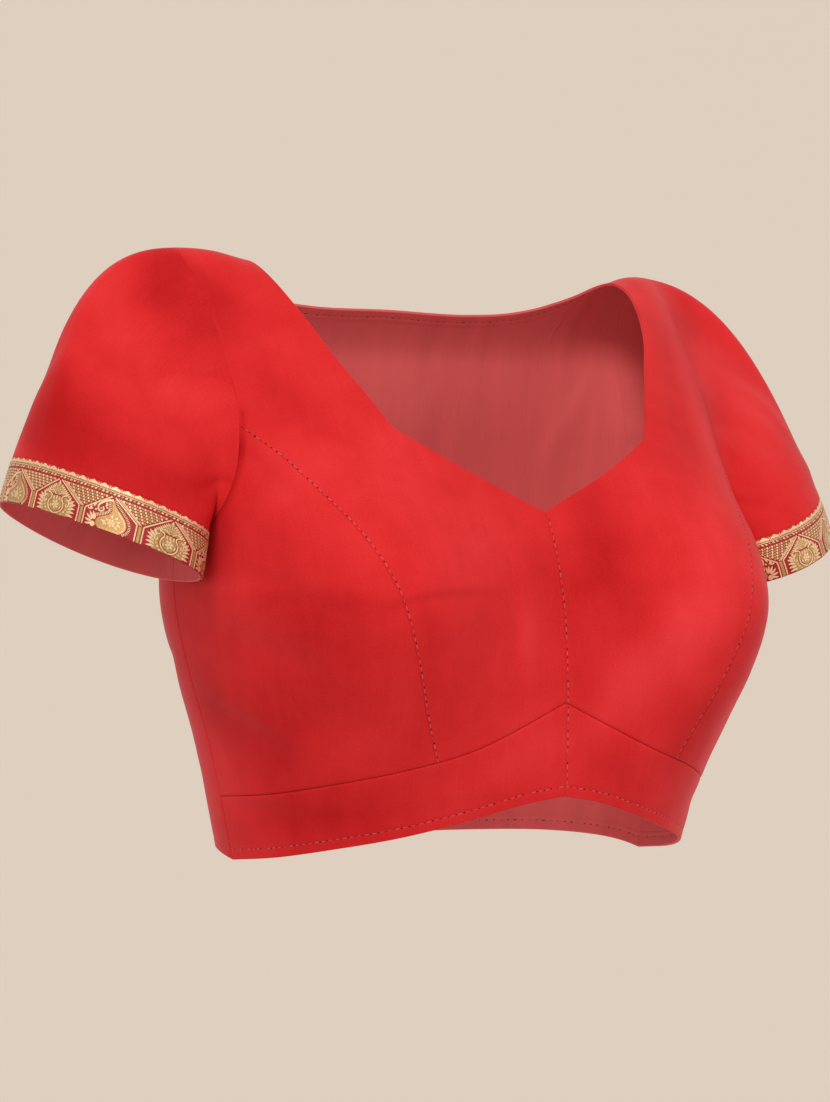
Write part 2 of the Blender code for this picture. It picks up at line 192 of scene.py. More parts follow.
# Flat places are measured round the body in metres for each degree, and round a sleeve for each turn
ROUND_SCALE = MEAN_RADIUS * math.radians(1)
SLEEVE_ROUND = 0.36
RIGHT_ANGLE = math.pi / 2
RIM_ANGLE = math.radians(60)
TOP_LEVEL = SHOULDER_ROUND * (RIGHT_ANGLE - 1)
MIRROR = np.array((-1.0, 1.0, 1.0))

# How an edge is finished: how wide and deep the cloth rolls in there
Finish = namedtuple("Finish", "width depth")
PLAIN_SEAM = Finish(1.1 * MM, 0.38 * MM)
ARMHOLE_SEAM = Finish(0.8 * MM, 0.24 * MM)
BAND_SEAM_FINISH = Finish(1.9 * MM, 1.2 * MM)
SLEEVE_LAP = 0.3 * MM
FOLD_SHARE = 0.47
LEAST_WALL = 0.15 * MM
HEM_WIDTH = 9.0 * MM
HEM_EXTRA = 0.35 * MM
STITCH_INSET = 5.6 * MM
PUCKER_DEPTH = 0.22 * MM
PUCKER_WIDTH = 1.1 * MM
EDGE_STEPS = np.array((0.0, 0.15, 0.4, 0.75, 1.1, 1.6)) * MM
HEM_STEPS = np.array((0.0, 0.15, 0.35, 0.65, 1.0, 2.0, 3.4, 4.4, 5.0, 5.6, 6.2, 6.8, 7.9, 9.1)) * MM


# Creases, and painted highlights and shades

# A stroke runs between two places, bowed to one side, and reaches so far to its left and to its right.
# Places on the body are degrees round from the centre front and heights. A crease's amount is how far it
# stands out, or sinks in below 0.
CREASE = "place height_mm to_place to_height_mm bow_mm amount_mm left_mm right_mm"
PAINTED_SHADE = CREASE.replace("amount_mm", "amount")
BODY_CREASES = table(CREASE,
    (-44, -193, -14, -185, 3, 1.5, 22, 2.8), (-10, -240, -8, -168, 2, 1, 3, 12),
    (-36, -224, -18, -216, 3, -0.6, 8, 8), (10, -234, 36, -140, -6, 1, 16, 14),
    (7, -190, 20, -150, -3, -0.8, 12, 8), (16, -214, 24, -256, -3, -0.6, 8, 10),
    (-72, -178, -50, -207, 4, -1.6, 8, 11), (-82, -204, -56, -244, 5, -1.5, 9, 12),
    (-86, -238, -60, -274, 4, 1.5, 12, 7), (72, -180, 54, -203, -4, -1.6, 11, 8),
    (82, -210, 58, -244, -4, -1.5, 12, 9), (76, -246, 52, -268, -3, 1, 7, 10),
    (-72, -100, -56, -146, 3, -1.5, 7, 10), (72, -102, 57, -142, -3, -1.5, 10, 7),
    (-48, -40, -44, -108, 3, 0.6, 10, 7), (46, -50, 40, -118, -3, -0.6, 7, 10),
    (-88, -300, -54, -311, -2, -1, 6, 9), (-40, -303, -14, -288, 2, 0.5, 8, 6),
    (44, -300, 82, -314, 2, -0.7, 8, 6), (106, -166, 136, -198, -4, -1.9, 8, 12),
    (-108, -170, -140, -192, 4, -2.1, 12, 8), (102, -212, 152, -234, -6, -1.8, 9, 13),
    (-104, -218, -148, -248, 6, -1.8, 13, 10), (118, -246, 166, -262, -5, 1.5, 6, 12),
    (152, -246, 206, -252, -4, -1.9, 9, 13), (150, -268, 214, -264, 4, 1.6, 12, 5),
    (166, -56, 173, -164, 3, -1.2, 9, 13), (198, -48, 190, -134, -3, -1, 12, 8),
    (126, -56, 137, -114, 4, -1.4, 8, 11), (234, -52, 221, -119, -4, -1.5, 11, 7),
    (114, -282, 162, -298, 3, -1.2, 7, 10), (-110, -286, -160, -294, -3, -1.2, 10, 7))
# Places on a sleeve are turns round it, a whole turn being 1, and heights above the sleeve end.
RIGHT_SLEEVE_CREASES = table(CREASE,
    (0.27, 120, 0.38, 82, 5, -2, 7, 12), (0.33, 94, 0.46, 58, 4, 1.4, 12, 7),
    (0.13, 60, 0.3, 39, -4, -1.8, 6, 10), (0.1, 44, 0.22, 32, -3, 1.3, 8, 6),
    (0.38, 50, 0.55, 42, 3, -1.4, 8, 11), (0.5, 108, 0.58, 64, -4, -1.4, 10, 7),
    (0.61, 100, 0.69, 48, 4, -1.9, 8, 11), (0.71, 76, 0.85, 46, -4, -1.6, 10, 7),
    (0.9, 41, 1.06, 36, 3, -1.3, 6, 8))
LEFT_SLEEVE_CREASES = table(CREASE,
    (0.25, 108, 0.35, 66, 4, -1.8, 8, 11), (0.37, 112, 0.43, 60, 5, 1.3, 10, 6),
    (0.15, 55, 0.27, 43, -4, -1.6, 6, 9), (0.3, 46, 0.48, 37, 3, 1.3, 9, 6),
    (0.52, 98, 0.57, 54, -4, -1.5, 11, 8), (0.63, 106, 0.67, 58, 3, -1.6, 7, 11),
    (0.72, 66, 0.82, 50, -4, -1.6, 10, 8), (0.92, 39, 1.09, 37, 3, -1.3, 6, 8))

# Soft painted highlights and painted shade on the satin, where it faces the light, lies in shade below the
# fold, or lies in shadow beside the armhole seams: an amount above 0 is lighter
BODY_PAINTED_SHADE = table(PAINTED_SHADE,
    (-64, -120, -22, -150, 4, 0.3, 30, 36), (-58, -60, -40, -120, 4, -0.22, 20, 16),
    (-46, -194.5, -13, -186.5, 3, -0.22, 1.8, 46), (-64, -90, -82, -156, 7.4, -1.5, 2.8, 3),
    (64, -90, 82, -156, -7.4, -1.5, 3, 2.8), (-80, -190, -44, -196, 2, -0.52, 5, 60),
    (-92, -234, -60, -288, 4, -0.8, 22, 24), (-5, -146, -5, -226, 1, -0.45, 14, 14),
    (-10, -246, -8, -166, 1, 0.32, 5, 12), (10, -128, 12, -202, -4, -0.75, 18, 22),
    (3, -262, 39, -144, -7, 0.95, 15, 20), (38, -170, 37, -212, 1, -0.15, 14, 14),
    (50, -28, 40, -112, -3, -0.4, 18, 18), (41, -232, 36, -284, -2, -0.45, 14, 16),
    (-67, -8, -58, -50, 1, -1.1, 14, 15), (-92, -320, -32, -300, 3, -0.5, 13, 14),
    (-20, -287, -3, -262, 1, 0.5, 11, 11), (8, -276, 24, -300, 1, -0.35, 10, 10),
    (76, -170, 70, -240, 4, 0.35, 18, 22), (84, -250, 60, -300, 3, -0.45, 16, 20),
    (112, -110, 150, -160, 6, 0.45, 26, 30), (104, -208, 164, -226, 6, -0.5, 10, 34),
    (170, -110, 206, -176, -6, 0.45, 24, 28), (196, -216, 250, -240, -6, -0.5, 12, 30),
    (150, -262, 206, -278, 4, 0.4, 16, 18), (160, -50, 196, -92, 4, -0.35, 20, 22),
    (230, -66, 238, -150, 4, 0.35, 22, 18), (116, -296, 140, -300, 2, -0.35, 16, 16),
    (214, -300, 244, -306, 2, 0.3, 16, 16))
# Painted highlights and painted shade on the sleeves' satin
RIGHT_SLEEVE_PAINTED_SHADE = table(PAINTED_SHADE,
    (0.49, 190, 0.3, 144, 3, -1.3, 17, 23), (0.52, 142, 0.38, 120, 3, 0.45, 16, 20),
    (0.36, 118, 0.25, 92, 4, 0.4, 18, 14), (0.56, 86, 0.38, 48, 4, -1.2, 24, 18),
    (0.6, 50, 0.22, 37, 2, -1.5, 16, 15), (0.66, 100, 0.55, 78, 4, 0.45, 20, 20),
    (0.8, 58, 0.66, 46, 4, -0.5, 14, 14), (0.72, 132, 0.62, 150, 4, -0.4, 18, 18))
LEFT_SLEEVE_PAINTED_SHADE = table(PAINTED_SHADE,
    (0.46, 176, 0.36, 150, 3, -0.45, 16, 20), (0.4, 130, 0.3, 62, 5, 0.45, 20, 18),
    (0.24, 96, 0.31, 128, 3, -0.4, 14, 18), (0.54, 70, 0.4, 40, 3, -0.55, 18, 14),
    (0.68, 104, 0.58, 86, 4, 0.4, 20, 18), (0.78, 52, 0.64, 44, 4, -0.45, 14, 14))
SLEEVE_STROKES = {True: (RIGHT_SLEEVE_CREASES, RIGHT_SLEEVE_PAINTED_SHADE),
                  False: (LEFT_SLEEVE_CREASES, LEFT_SLEEVE_PAINTED_SHADE)}


# Curves

def blends(t):
    """How much the start, the way off, the end and the way in count at a share of a stretch."""
    return 2 * t**3 - 3 * t**2 + 1, t**3 - 2 * t**2 + t, 3 * t**2 - 2 * t**3, t**3 - t**2


def smooth(knots, values, at):
    """Read a smooth curve through the values; its slope at each knot is set by the two neighbours."""
    knots, values = np.asarray(knots, float), np.asarray(values, float)
    at = np.clip(np.asarray(at, float), knots[0], knots[-1])
    steps = np.diff(knots)[:, None]
    chords = np.diff(values, axis=0) / steps
    inner = (chords[:-1] * steps[1:] + chords[1:] * steps[:-1]) / (steps[:-1] + steps[1:])
    slopes = np.vstack([chords[:1], inner, chords[-1:]])
    i = np.clip(np.searchsorted(knots, at, side="right") - 1, 0, len(knots) - 2)
    step = (knots[i + 1] - knots[i])[..., None]
    start, off, end, into = blends((at - knots[i])[..., None] / step)
    return start * values[i] + off * step * slopes[i] + (end * values[i + 1] + into * step * slopes[i + 1])


def run_along(points):
    """How far each point of a line, or of each line of a grid, lies from the first one."""
    run = np.cumsum(np.linalg.norm(np.diff(points, axis=0), axis=-1), axis=0)
    return np.concatenate([np.zeros_like(run[:1]), run])


def read_table(rows, at):
    """Read all the columns of a table at some values of its first column."""
    rows = np.array(rows)
    return np.moveaxis(smooth(rows[:, 0], rows[:, 1:], at), -1, 0)


def follow(points, share):
    """Points at some shares of the length of the smooth curve through a line's addresses."""
    run = run_along(points * (MEAN_RADIUS, 1.0))
    return smooth(run / run[-1], points, share)


def along(points, cells):
    """Spread fine points evenly along the smooth curve through a line's addresses."""
    return follow(points, np.linspace(0, 1, cells * FINE + 1))


# The body surface, addressed by an angle round from the centre front and by a level

def height_of(level):
    turn = np.clip((level + SHOULDER_ROUND) / SHOULDER_ROUND, 0, RIGHT_ANGLE)
    return np.where(level < -SHOULDER_ROUND, level, SHOULDER_ROUND * (np.sin(turn) - 1))


def near_shoulder(height):
    """The share of the shoulder's round that lies below a height."""
    return np.clip((height + SHOULDER_ROUND) / SHOULDER_ROUND, 0, 1)


def level_of(height):
    return np.where(height < -SHOULDER_ROUND, height,
                    SHOULDER_ROUND * (np.arcsin(near_shoulder(height)) - 1))


def body_point(angle, level):
    """Points of the body's outer face."""
    angle, level = np.broadcast_arrays(np.asarray(angle, float), np.asarray(level, float))
    height = height_of(level)
    breadth, front, back, fullness, square_front, square_back = read_table(BODY_LEVELS, height)
    side, ahead = np.sin(angle), np.cos(angle)
    front_depth = front * ahead * (1 + square_front * side**2) + fullness * np.sin(2 * angle)**2
    back_depth = back * ahead * (1 + square_back * side**2)
    depth = np.where(ahead > 0, front_depth, back_depth) * np.sqrt(1 - near_shoulder(height)**2)
    sit_back, rise = read_table(SHOULDER_RIDGE, np.abs(breadth * side))
    near_top = eased((height + RIDGE_FADE) / RIDGE_FADE)
    return np.stack([breadth * side, sit_back * near_top - depth, height + rise * near_top], axis=-1)


def unit(vectors):
    return vectors / np.maximum(np.linalg.norm(vectors, axis=-1, keepdims=True), 1e-12)


def eased(share):
    """A share that sets off and arrives softly."""
    share = np.clip(share, 0, 1)
    return share**2 * (3 - 2 * share)


def body_normal(angle, level):
    upper = np.minimum(level + SMALL_STEP, TOP_LEVEL)
    onward = body_point(angle + SMALL_STEP, level) - body_point(angle - SMALL_STEP, level)
    return unit(np.cross(onward, body_point(angle, upper) - body_point(angle, upper - 2 * SMALL_STEP)))


def address(marks):
    """The body surface's angles and levels of some marks."""
    out, height = np.array(marks).T
    angle = np.arcsin(np.clip(out / read_table(BODY_LEVELS, height)[0], 0, 1))
    return np.stack([angle, level_of(height)], axis=-1)


def turned_over(points, angle):
    """The same addresses mirrored, with their angles taken from this one."""
    return points * (-1, 1) + (angle, 0)


# Cut lines

def armhole_marks(marks):
    """An armhole edge's addresses. Its underarm point lies on the side seam."""
    points = address(marks)
    points[0, 0] = RIGHT_ANGLE
    return points


def armhole(marks):
    """An armhole edge from the underarm up to the shoulder tip."""
    return along(armhole_marks(marks), SIDE_COLUMNS + UPPER_ROWS)


def level_line(rises, angles):
    """A seam or hem that runs round the body."""
    return np.stack([angles, read_table(rises, np.degrees(angles))[0]], axis=-1)


def even(low, high, cells):
    return np.linspace(low, high, cells * FINE + 1)


def upright(angle, low, high, cells):
    """A seam that runs straight up the body."""
    heights = even(low, high, cells)
    return np.stack([np.full_like(heights, angle), heights], axis=-1)


def shoulder_seam():
    """From the neck point to the shoulder tip."""
    return even(*address((NECK_UPPER[-1], ARMHOLE_FRONT[-1])), CENTRE_COLUMNS)


def princess_seam():
    """From the waistband up to the armhole. Its foot is found by trying the band seam's height again."""
    foot_height = BAND_SEAM[0].height
    for _ in range(FOOT_TRIES):
        foot_angle = math.asin(PRINCESS_FOOT / float(read_table(BODY_LEVELS, foot_height)[0]))
        foot_height = float(read_table(BAND_SEAM, math.degrees(foot_angle))[0])
    head = armhole(ARMHOLE_FRONT)[SIDE_COLUMNS * FINE]
    return along(np.vstack([[(foot_angle, foot_height)], address(PRINCESS_MARKS), [head]]), PRINCESS_ROWS)


def join(*lines):
    """Run lines on from each other, without doubling the points where they meet."""
    return np.vstack([lines[0]] + [line[1:] for line in lines[1:]])


def between(lines, at):
    """Read the lines of a grid, or the points of a line, at places that lie between them."""
    low = np.clip(at.astype(int), 0, len(lines) - 2)
    share = (at - low).reshape(-1, *[1] * (lines.ndim - 1))
    return lines[low] * (1 - share) + lines[low + 1] * share


# Panels as grids of addresses, a row for each step up and a column for each step out

def fill(bottom, top, inner, outer):
    """Fill a four sided panel between its edges."""
    up = np.linspace(0, 1, len(inner))[:, None, None]
    across = np.linspace(0, 1, len(bottom))[None, :, None]
    level_blend = (1 - up) * bottom[None] + up * top[None]
    out_blend = (1 - across) * inner[:, None] + across * outer[:, None]
    corners = ((1 - up) * (1 - across) * bottom[0] + (1 - up) * across * bottom[-1]
               + up * (1 - across) * top[0] + up * across * top[-1])
    return level_blend + out_blend - corners


def front_centre_grid():
    princess = princess_seam()
    bottom = level_line(BAND_SEAM, even(0, princess[0, 0], CENTRE_COLUMNS))
    inner = join(upright(0.0, bottom[0, 1], NECK_POINT_HEIGHT, FRONT_OPENING_ROWS),
                 along(address(NECK_LOWER), PRINCESS_ROWS - FRONT_OPENING_ROWS),
                 along(address(NECK_UPPER), UPPER_ROWS))
    outer = join(princess, armhole(ARMHOLE_FRONT)[SIDE_COLUMNS * FINE:])
    return fill(bottom, shoulder_seam(), inner, outer)


def front_side_grid():
    princess = princess_seam()
    bottom = level_line(BAND_SEAM, even(princess[0, 0], RIGHT_ANGLE, SIDE_COLUMNS))
    arm = armhole(ARMHOLE_FRONT)[:SIDE_COLUMNS * FINE + 1]
    return fill(bottom, arm[::-1], princess, upright(RIGHT_ANGLE, bottom[-1, 1], arm[0, 1], PRINCESS_ROWS))


def waistband_grid():
    split = princess_seam()[0, 0]
    angles = np.concatenate([even(0, split, CENTRE_COLUMNS), even(split, RIGHT_ANGLE, SIDE_COLUMNS)[1:]])
    bottom, top = level_line(HEM_FRONT, angles), level_line(BAND_SEAM, angles)
    return fill(bottom, top, even(bottom[0], top[0], BAND_ROWS), even(bottom[-1], top[-1], BAND_ROWS))


def back_grid():
    """The whole back, from the wearer's left side seam round to the right one."""
    low, seam = HEM_BACK[0].height, BAND_SEAM[-1].height
    arm = armhole(ARMHOLE_BACK)
    edge = join(upright(RIGHT_ANGLE, low, seam, BAND_ROWS),
                upright(RIGHT_ANGLE, seam, arm[0, 1], PRINCESS_ROWS), arm)
    left = turned_over(edge, math.pi)
    half_top = turned_over(join(along(address(NECK_BACK), NECK_COLUMNS // 2), shoulder_seam()), math.pi)[::-1]
    top = join(half_top, turned_over(half_top[::-1], 2 * math.pi))
    angles = np.linspace(RIGHT_ANGLE, 3 * RIGHT_ANGLE, len(top))
    from_side = np.where(angles > math.pi, 2 * math.pi - angles, angles)
    bottom = np.stack([angles, level_line(HEM_BACK, from_side)[:, 1]], axis=-1)
    return fill(bottom, top, left, turned_over(left, 2 * math.pi))


def bring_lines_close(grid, steps):
    """Set the lines of a grid's first cells at these distances from its first edge. Where that would fill
    the cells, they are set closer."""
    near = grid[:FINE + 1]
    run = run_along(body_point(near[..., 0], near[..., 1]))
    wanted = np.outer(steps, np.minimum(1.0, MOST_OF_CELLS * run[-1] / steps[-1]))
    wanted = np.vstack([wanted, np.linspace(wanted[-1], run[-1], FINE)[1:-1]])
    lines = np.empty((len(wanted), *near.shape[1:]))
    for j in range(near.shape[1]):
        for k in range(2):
            lines[:, j, k] = np.interp(wanted[:, j], run[:, j], near[:, j, k])
    return np.concatenate([lines, grid[FINE:]])


def edge_distances(points):
    """How far each point lies from the bottom, the top, the inner and the outer edge."""
    found = []
    for axis in (0, 1):
        for flip in (1, -1):
            lines = points.swapaxes(0, axis)[::flip]
            slant = np.cross(unit(np.gradient(lines[0], axis=0)), unit(lines[1] - lines[0]))
            found.append((run_along(lines) * np.linalg.norm(slant, axis=-1))[::flip].swapaxes(0, axis))
    return found


def rolled_in(distance, finish):
    """How far the cloth rolls in near a seam or a folded edge."""
    near = np.clip(1 - distance / finish.width, 0, 1)
    return finish.depth * (1 - np.sqrt(1 - near**2))


def stroked(across, up, strokes, scale):
    """What some strokes amount to at some flat places. A stroke widens and swells along its way."""
    total = np.zeros_like(across)
    for stroke in strokes:
        start = np.array((stroke.place * scale, stroke.height))
        way = np.array((stroke.to_place * scale, stroke.to_height)) - start
        length = np.linalg.norm(way)
        way /= length
        gone = (across - start[0]) * way[0] + (up - start[1]) * way[1]
        share = np.clip(gone / length, 0, 1)
        aside = (up - start[1]) * way[0] - (across - start[0]) * way[1] - stroke.bow * 4 * share * (1 - share)
        past = (gone - share * length) / min(stroke.left, stroke.right)
        reach = np.where(aside > 0, stroke.left, stroke.right) * (0.75 + 0.5 * share)
        strength = stroke.amount * np.sin(math.pi * (0.12 + 0.80 * share))
        total += strength * np.exp(-(aside / reach)**2 - past**2)
    return total


def round_body(angle, level, strokes):
    """What strokes amount to on the body, for angles from minus a half turn up to one and a half."""
    across = np.degrees(angle) * ROUND_SCALE
    return (stroked(across, level, strokes, ROUND_SCALE)
            + stroked(across - 360 * ROUND_SCALE, level, strokes, ROUND_SCALE))


# A panel's shade is painted highlight above 0 and painted shade below 0 on the satin
Panel = namedtuple("Panel", "surface normal outer inner uv shade")


def finer(grid, times):
    """Set lines evenly between those of a grid, across and along."""
    for axis in (0, 1):
        lines = grid.swapaxes(0, axis)
        at = np.linspace(0, len(lines) - 1, (len(lines) - 1) * times + 1)
        grid = between(lines, at).swapaxes(0, axis)
    return grid


def body_panel(sizes, right, cut, folds, band, times=FRONT_TIMES):
    """A panel of the body with its creases, rolled seams and folded edges.

    Cut makes its grid. Folds gives the test that the folded points of an edge pass, for each edge that has
    any. Band names the edge that is sewn to the waistband. Times is how many lines there are to each of the
    grid's."""
    grid = bring_lines_close(cut(), HEM_STEPS if "bottom" in folds else EDGE_STEPS)
    grid = bring_lines_close(grid[::-1], HEM_STEPS if "top" in folds else EDGE_STEPS)[::-1]
    grid = bring_lines_close(grid.swapaxes(0, 1), EDGE_STEPS)
    grid = bring_lines_close(grid[::-1], EDGE_STEPS)[::-1].swapaxes(0, 1)
    grid = finer(grid, times)
    angle, level = grid[..., 0], grid[..., 1]
    normal = body_normal(angle, level)
    seen_angle = -angle if right else angle
    lift = sizes.crease * round_body(seen_angle, level, BODY_CREASES)
    surface = body_point(angle, level) + normal * lift[..., None]
    fold_roll = FOLD_SHARE * sizes.cloth
    roll, extra, pucker = np.zeros((3, *level.shape))
    ends = {"bottom": surface[:1], "top": surface[-1:], "inner": surface[:, :1], "outer": surface[:, -1:]}
    for edge, distance in zip(ends, edge_distances(surface)):
        seam = BAND_SEAM_FINISH if edge == band else PLAIN_SEAM
        folded = folds[edge](ends[edge]) if edge in folds else False
        here = np.where(folded, rolled_in(distance, Finish(fold_roll, fold_roll)), rolled_in(distance, seam))
        roll = np.maximum(roll, here)
        extra = np.maximum(extra, folded * HEM_EXTRA * eased((HEM_WIDTH - distance) / MM) - here)
        if edge in ("bottom", "top"):
            from_stitch = (distance - STITCH_INSET) / PUCKER_WIDTH
            pucker = np.maximum(pucker, folded * PUCKER_DEPTH * np.exp(-from_stitch**2))
    outer = surface - normal * (roll + pucker)[..., None]
    thick = sizes.cloth + np.maximum(extra, 0) - np.minimum(roll, fold_roll) - pucker
    inner = surface - normal * np.maximum(thick, roll + LEAST_WALL)[..., None]
    uv = np.stack([angle * MEAN_RADIUS, level], axis=-1)
    return Panel(surface, normal, outer, inner, uv, np.tanh(round_body(seen_angle, level, BODY_PAINTED_SHADE)))


# The sleeve surface, addressed by a turn round the armhole and a distance along the thread from there

def armhole_address(turn):
    """Round the armhole: 0 at the underarm, a quarter in front, a half on the shoulder."""
    turn = np.mod(turn, 1.0)
    front = follow(armhole_marks(ARMHOLE_FRONT), 2 * turn)
    back = turned_over(follow(armhole_marks(ARMHOLE_BACK), 2 - 2 * turn), math.pi)
    return np.moveaxis(np.where((turn <= 0.5)[..., None], front, back), -1, 0)


def sleeve_end(turn):
    """The loop at the sleeve end."""
    across = -np.cos(2 * math.pi * turn)[..., None]
    ahead = np.sin(2 * math.pi * turn)[..., None]
    loop = np.array(SLEEVE_CENTRE) + across * SLEEVE_ACROSS + ahead * SLEEVE_AHEAD
    lean = across * math.cos(SLEEVE_DIP_TURN) + ahead * math.sin(SLEEVE_DIP_TURN)
    return loop - SLEEVE_DIP * ((1 + lean) / 2)**2 * np.array((0.0, 0.0, 1.0))


def sleeve_strand(turn, share):
    """Points of the sleeve's outer face, along threads that leave the armhole in line with the body."""
    turn, share = np.broadcast_arrays(np.asarray(turn, float), np.asarray(share, float))
    angle, level = armhole_address(turn)
    after, before = [body_point(*armhole_address(turn + step)) for step in (STRAND_STEP, -STRAND_STEP)]
    leave = unit(np.cross(after - before, body_normal(angle, np.minimum(level, TOP_LEVEL - 2 * SMALL_STEP))))
    pull, arrive = read_table(SLEEVE_PUFF, np.mod(turn, 1.0))
    start, off, end, into = blends(share[..., None])
    return (start * body_point(angle, level) + off * pull[..., None] * leave
            + end * sleeve_end(turn) + into * arrive[..., None] * np.array(SLEEVE_FALL))


def thread_lengths(turns):
    """The distance run along each thread at even shares of it."""
    steps = np.linspace(0, 1, ARC_STEPS + 1)
    return steps, run_along(sleeve_strand(turns, steps[:, None])).T


def sleeve_turns():
    """Turns round the sleeve, closer together beside the underarm seam."""
    near = EDGE_STEPS / SLEEVE_ROUND
    return np.concatenate([near, np.linspace(near[-1], 1 - near[-1], SLEEVE_TURNS)[1:-1], (1 - near)[::-1]])


def sleeve_surface(turns, heights_of, crease, right):
    """A sleeve's surface and normals as on the wearer's left, at heights above its end that are given for a
    thread's whole length. Beyond the armhole the thread runs on at its first pace."""
    steps, run = thread_lengths(turns)
    heights = np.array([heights_of(line[-1]) for line in run])
    shares = np.array([np.interp(line[-1] - up, [-line[1], *line], [-steps[1], *steps])
                       for line, up in zip(run, heights)])
    wide = np.repeat(turns[:, None], shares.shape[1], axis=1)
    later = np.clip(shares + STRAND_STEP, 2 * STRAND_STEP, 1)
    up_way = sleeve_strand(wide, later - 2 * STRAND_STEP) - sleeve_strand(wide, later)
    onward = sleeve_strand(wide + STRAND_STEP, shares) - sleeve_strand(wide - STRAND_STEP, shares)
    normal = unit(np.cross(onward, up_way))
    # The sleeve's creases, and its painted highlight and painted shade
    lift, shade = [sum(stroked((wide + whole) * SLEEVE_ROUND, heights, strokes, SLEEVE_ROUND)
                       for whole in (0, 1)) for strokes in SLEEVE_STROKES[right]]
    surface = sleeve_strand(wide, shares) + normal * (crease * lift)[..., None]
    uv = np.stack([wide * SLEEVE_ROUND, heights], axis=-1)
    return [part.swapaxes(0, 1) for part in (surface, normal, uv, np.tanh(shade))]


def sleeve_panel(sizes, right, low, high, rows):
    """A ring of a sleeve as on the wearer's left, between two heights above its end, or up to the armhole.
    The one that starts at the end is folded there."""
    edge = EDGE_STEPS[-1]

    def heights_of(whole):
        top = high or whole + SLEEVE_LAP
        return np.concatenate([low + EDGE_STEPS, np.linspace(low + edge, top - edge, rows)[1:-1],
                               (top - EDGE_STEPS)[::-1]])

    surface, normal, uv, shade = sleeve_surface(sleeve_turns(), heights_of, sizes.crease, right)
    bottom, top, inner, outer = edge_distances(surface)
    fold_roll = FOLD_SHARE * sizes.cloth
    roll = np.maximum(rolled_in(top, ARMHOLE_SEAM),
                      rolled_in(bottom, ARMHOLE_SEAM if low else Finish(fold_roll, fold_roll)))
    roll = np.maximum(roll, rolled_in(np.minimum(inner, outer), PLAIN_SEAM))
    outside = surface - normal * roll[..., None]
    inside = surface - normal * (sizes.cloth - np.minimum(roll, fold_roll))[..., None]
    return Panel(surface, normal, outside, inside, uv, shade)


# Meshes

def finished(name, mesh, materials, replaced=()):
    """Put a mesh in the scene as a piece that rides with the blouse."""
    piece = bpy.data.objects.new(name, mesh)
    bpy.context.scene.collection.objects.link(piece)
    for material in materials:
        mesh.materials.append(bpy.data.materials[material])
    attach(piece, BODY)
    if replaced:
        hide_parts(*replaced)
    return piece


def quads(rows, columns):
    """The faces between the points of a grid."""
    place = np.arange(rows * columns).reshape(rows, columns)
    return np.stack([place[:-1, :-1], place[:-1, 1:], place[1:, 1:], place[1:, :-1]], -1).reshape(-1, 4)


def new_mesh(name, points, faces, materials, uv=None):
    """A mesh with the number of each face's material and, if they are given, its points' flat places."""
    mesh = bpy.data.meshes.new(name)
    mesh.from_pydata(points.tolist(), [], faces)
    mesh.polygons.foreach_set("material_index", materials)
    if uv is not None:
        corners = np.concatenate(faces)
        mesh.uv_layers.new(name="cloth").data.foreach_set("uv", uv[corners].astype(np.float32).ravel())
    return mesh


def shell_mesh(name, panel):
    """Close a panel's two faces into one thin wall, with its flat places as its UV map."""
    rows, columns = panel.outer.shape[:2]
    count = rows * columns
    place = np.arange(count).reshape(rows, columns)
    right_side = quads(rows, columns)
    rims = []
    for edge in (place[0], place[-1, ::-1], place[::-1, 0], place[:, -1]):
        rims.append(np.stack([edge[1:], edge[:-1], edge[:-1] + count, edge[1:] + count], -1))
    faces = np.vstack([right_side, right_side[:, ::-1] + count, *rims])
    materials = np.zeros(len(faces), np.int32)
    materials[len(right_side):2 * len(right_side)] = 1
    mesh = new_mesh(name, np.vstack([panel.outer.reshape(-1, 3), panel.inner.reshape(-1, 3)]),
                    faces.tolist(), materials, np.vstack([panel.uv.reshape(-1, 2)] * 2))
    # The shade attribute carries the painted highlight and painted shade of the satin
    shade = mesh.attributes.new("shade", "FLOAT", "POINT")
    shade.data.foreach_set("value", np.tile(panel.shade.ravel(), 2).astype(np.float32))
    mesh.shade_smooth()
    mesh.set_sharp_from_angle(angle=RIM_ANGLE)
    return mesh


def placed(panel, right):
    """A panel on its own side. The wearer's right one is mirrored, with its faces kept outwards."""
    if not right:
        return panel
    parts = [part * MIRROR for part in panel[:4]] + [panel.uv * (-1, 1), panel.shade]
    return Panel(*[part[:, ::-1] for part in parts])


def flat_cut(panel):
    """Width, length and area of the flat cut of what shows of a panel."""
    across, up = [float(run_along(panel.surface.swapaxes(0, axis))[-1].max()) for axis in (1, 0)]
    a, b = panel.surface[:-1, :-1], panel.surface[1:, 1:]
    c, d = panel.surface[:-1, 1:], panel.surface[1:, :-1]
    area = np.linalg.norm(np.cross(b - a, d - c), axis=-1).sum() / 2
    return (across, up), min(float(area), across * up)


def sew(part, side, panel, materials):
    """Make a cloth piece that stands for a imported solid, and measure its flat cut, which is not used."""
    name = f"{part}_silk{side}"
    piece = finished(name, shell_mesh(name, panel), materials, (part + side,))
    flat, area = flat_cut(panel)


# The woven border's pattern, drawn flat in millimetres: x along the border, y up from the sleeve's hem

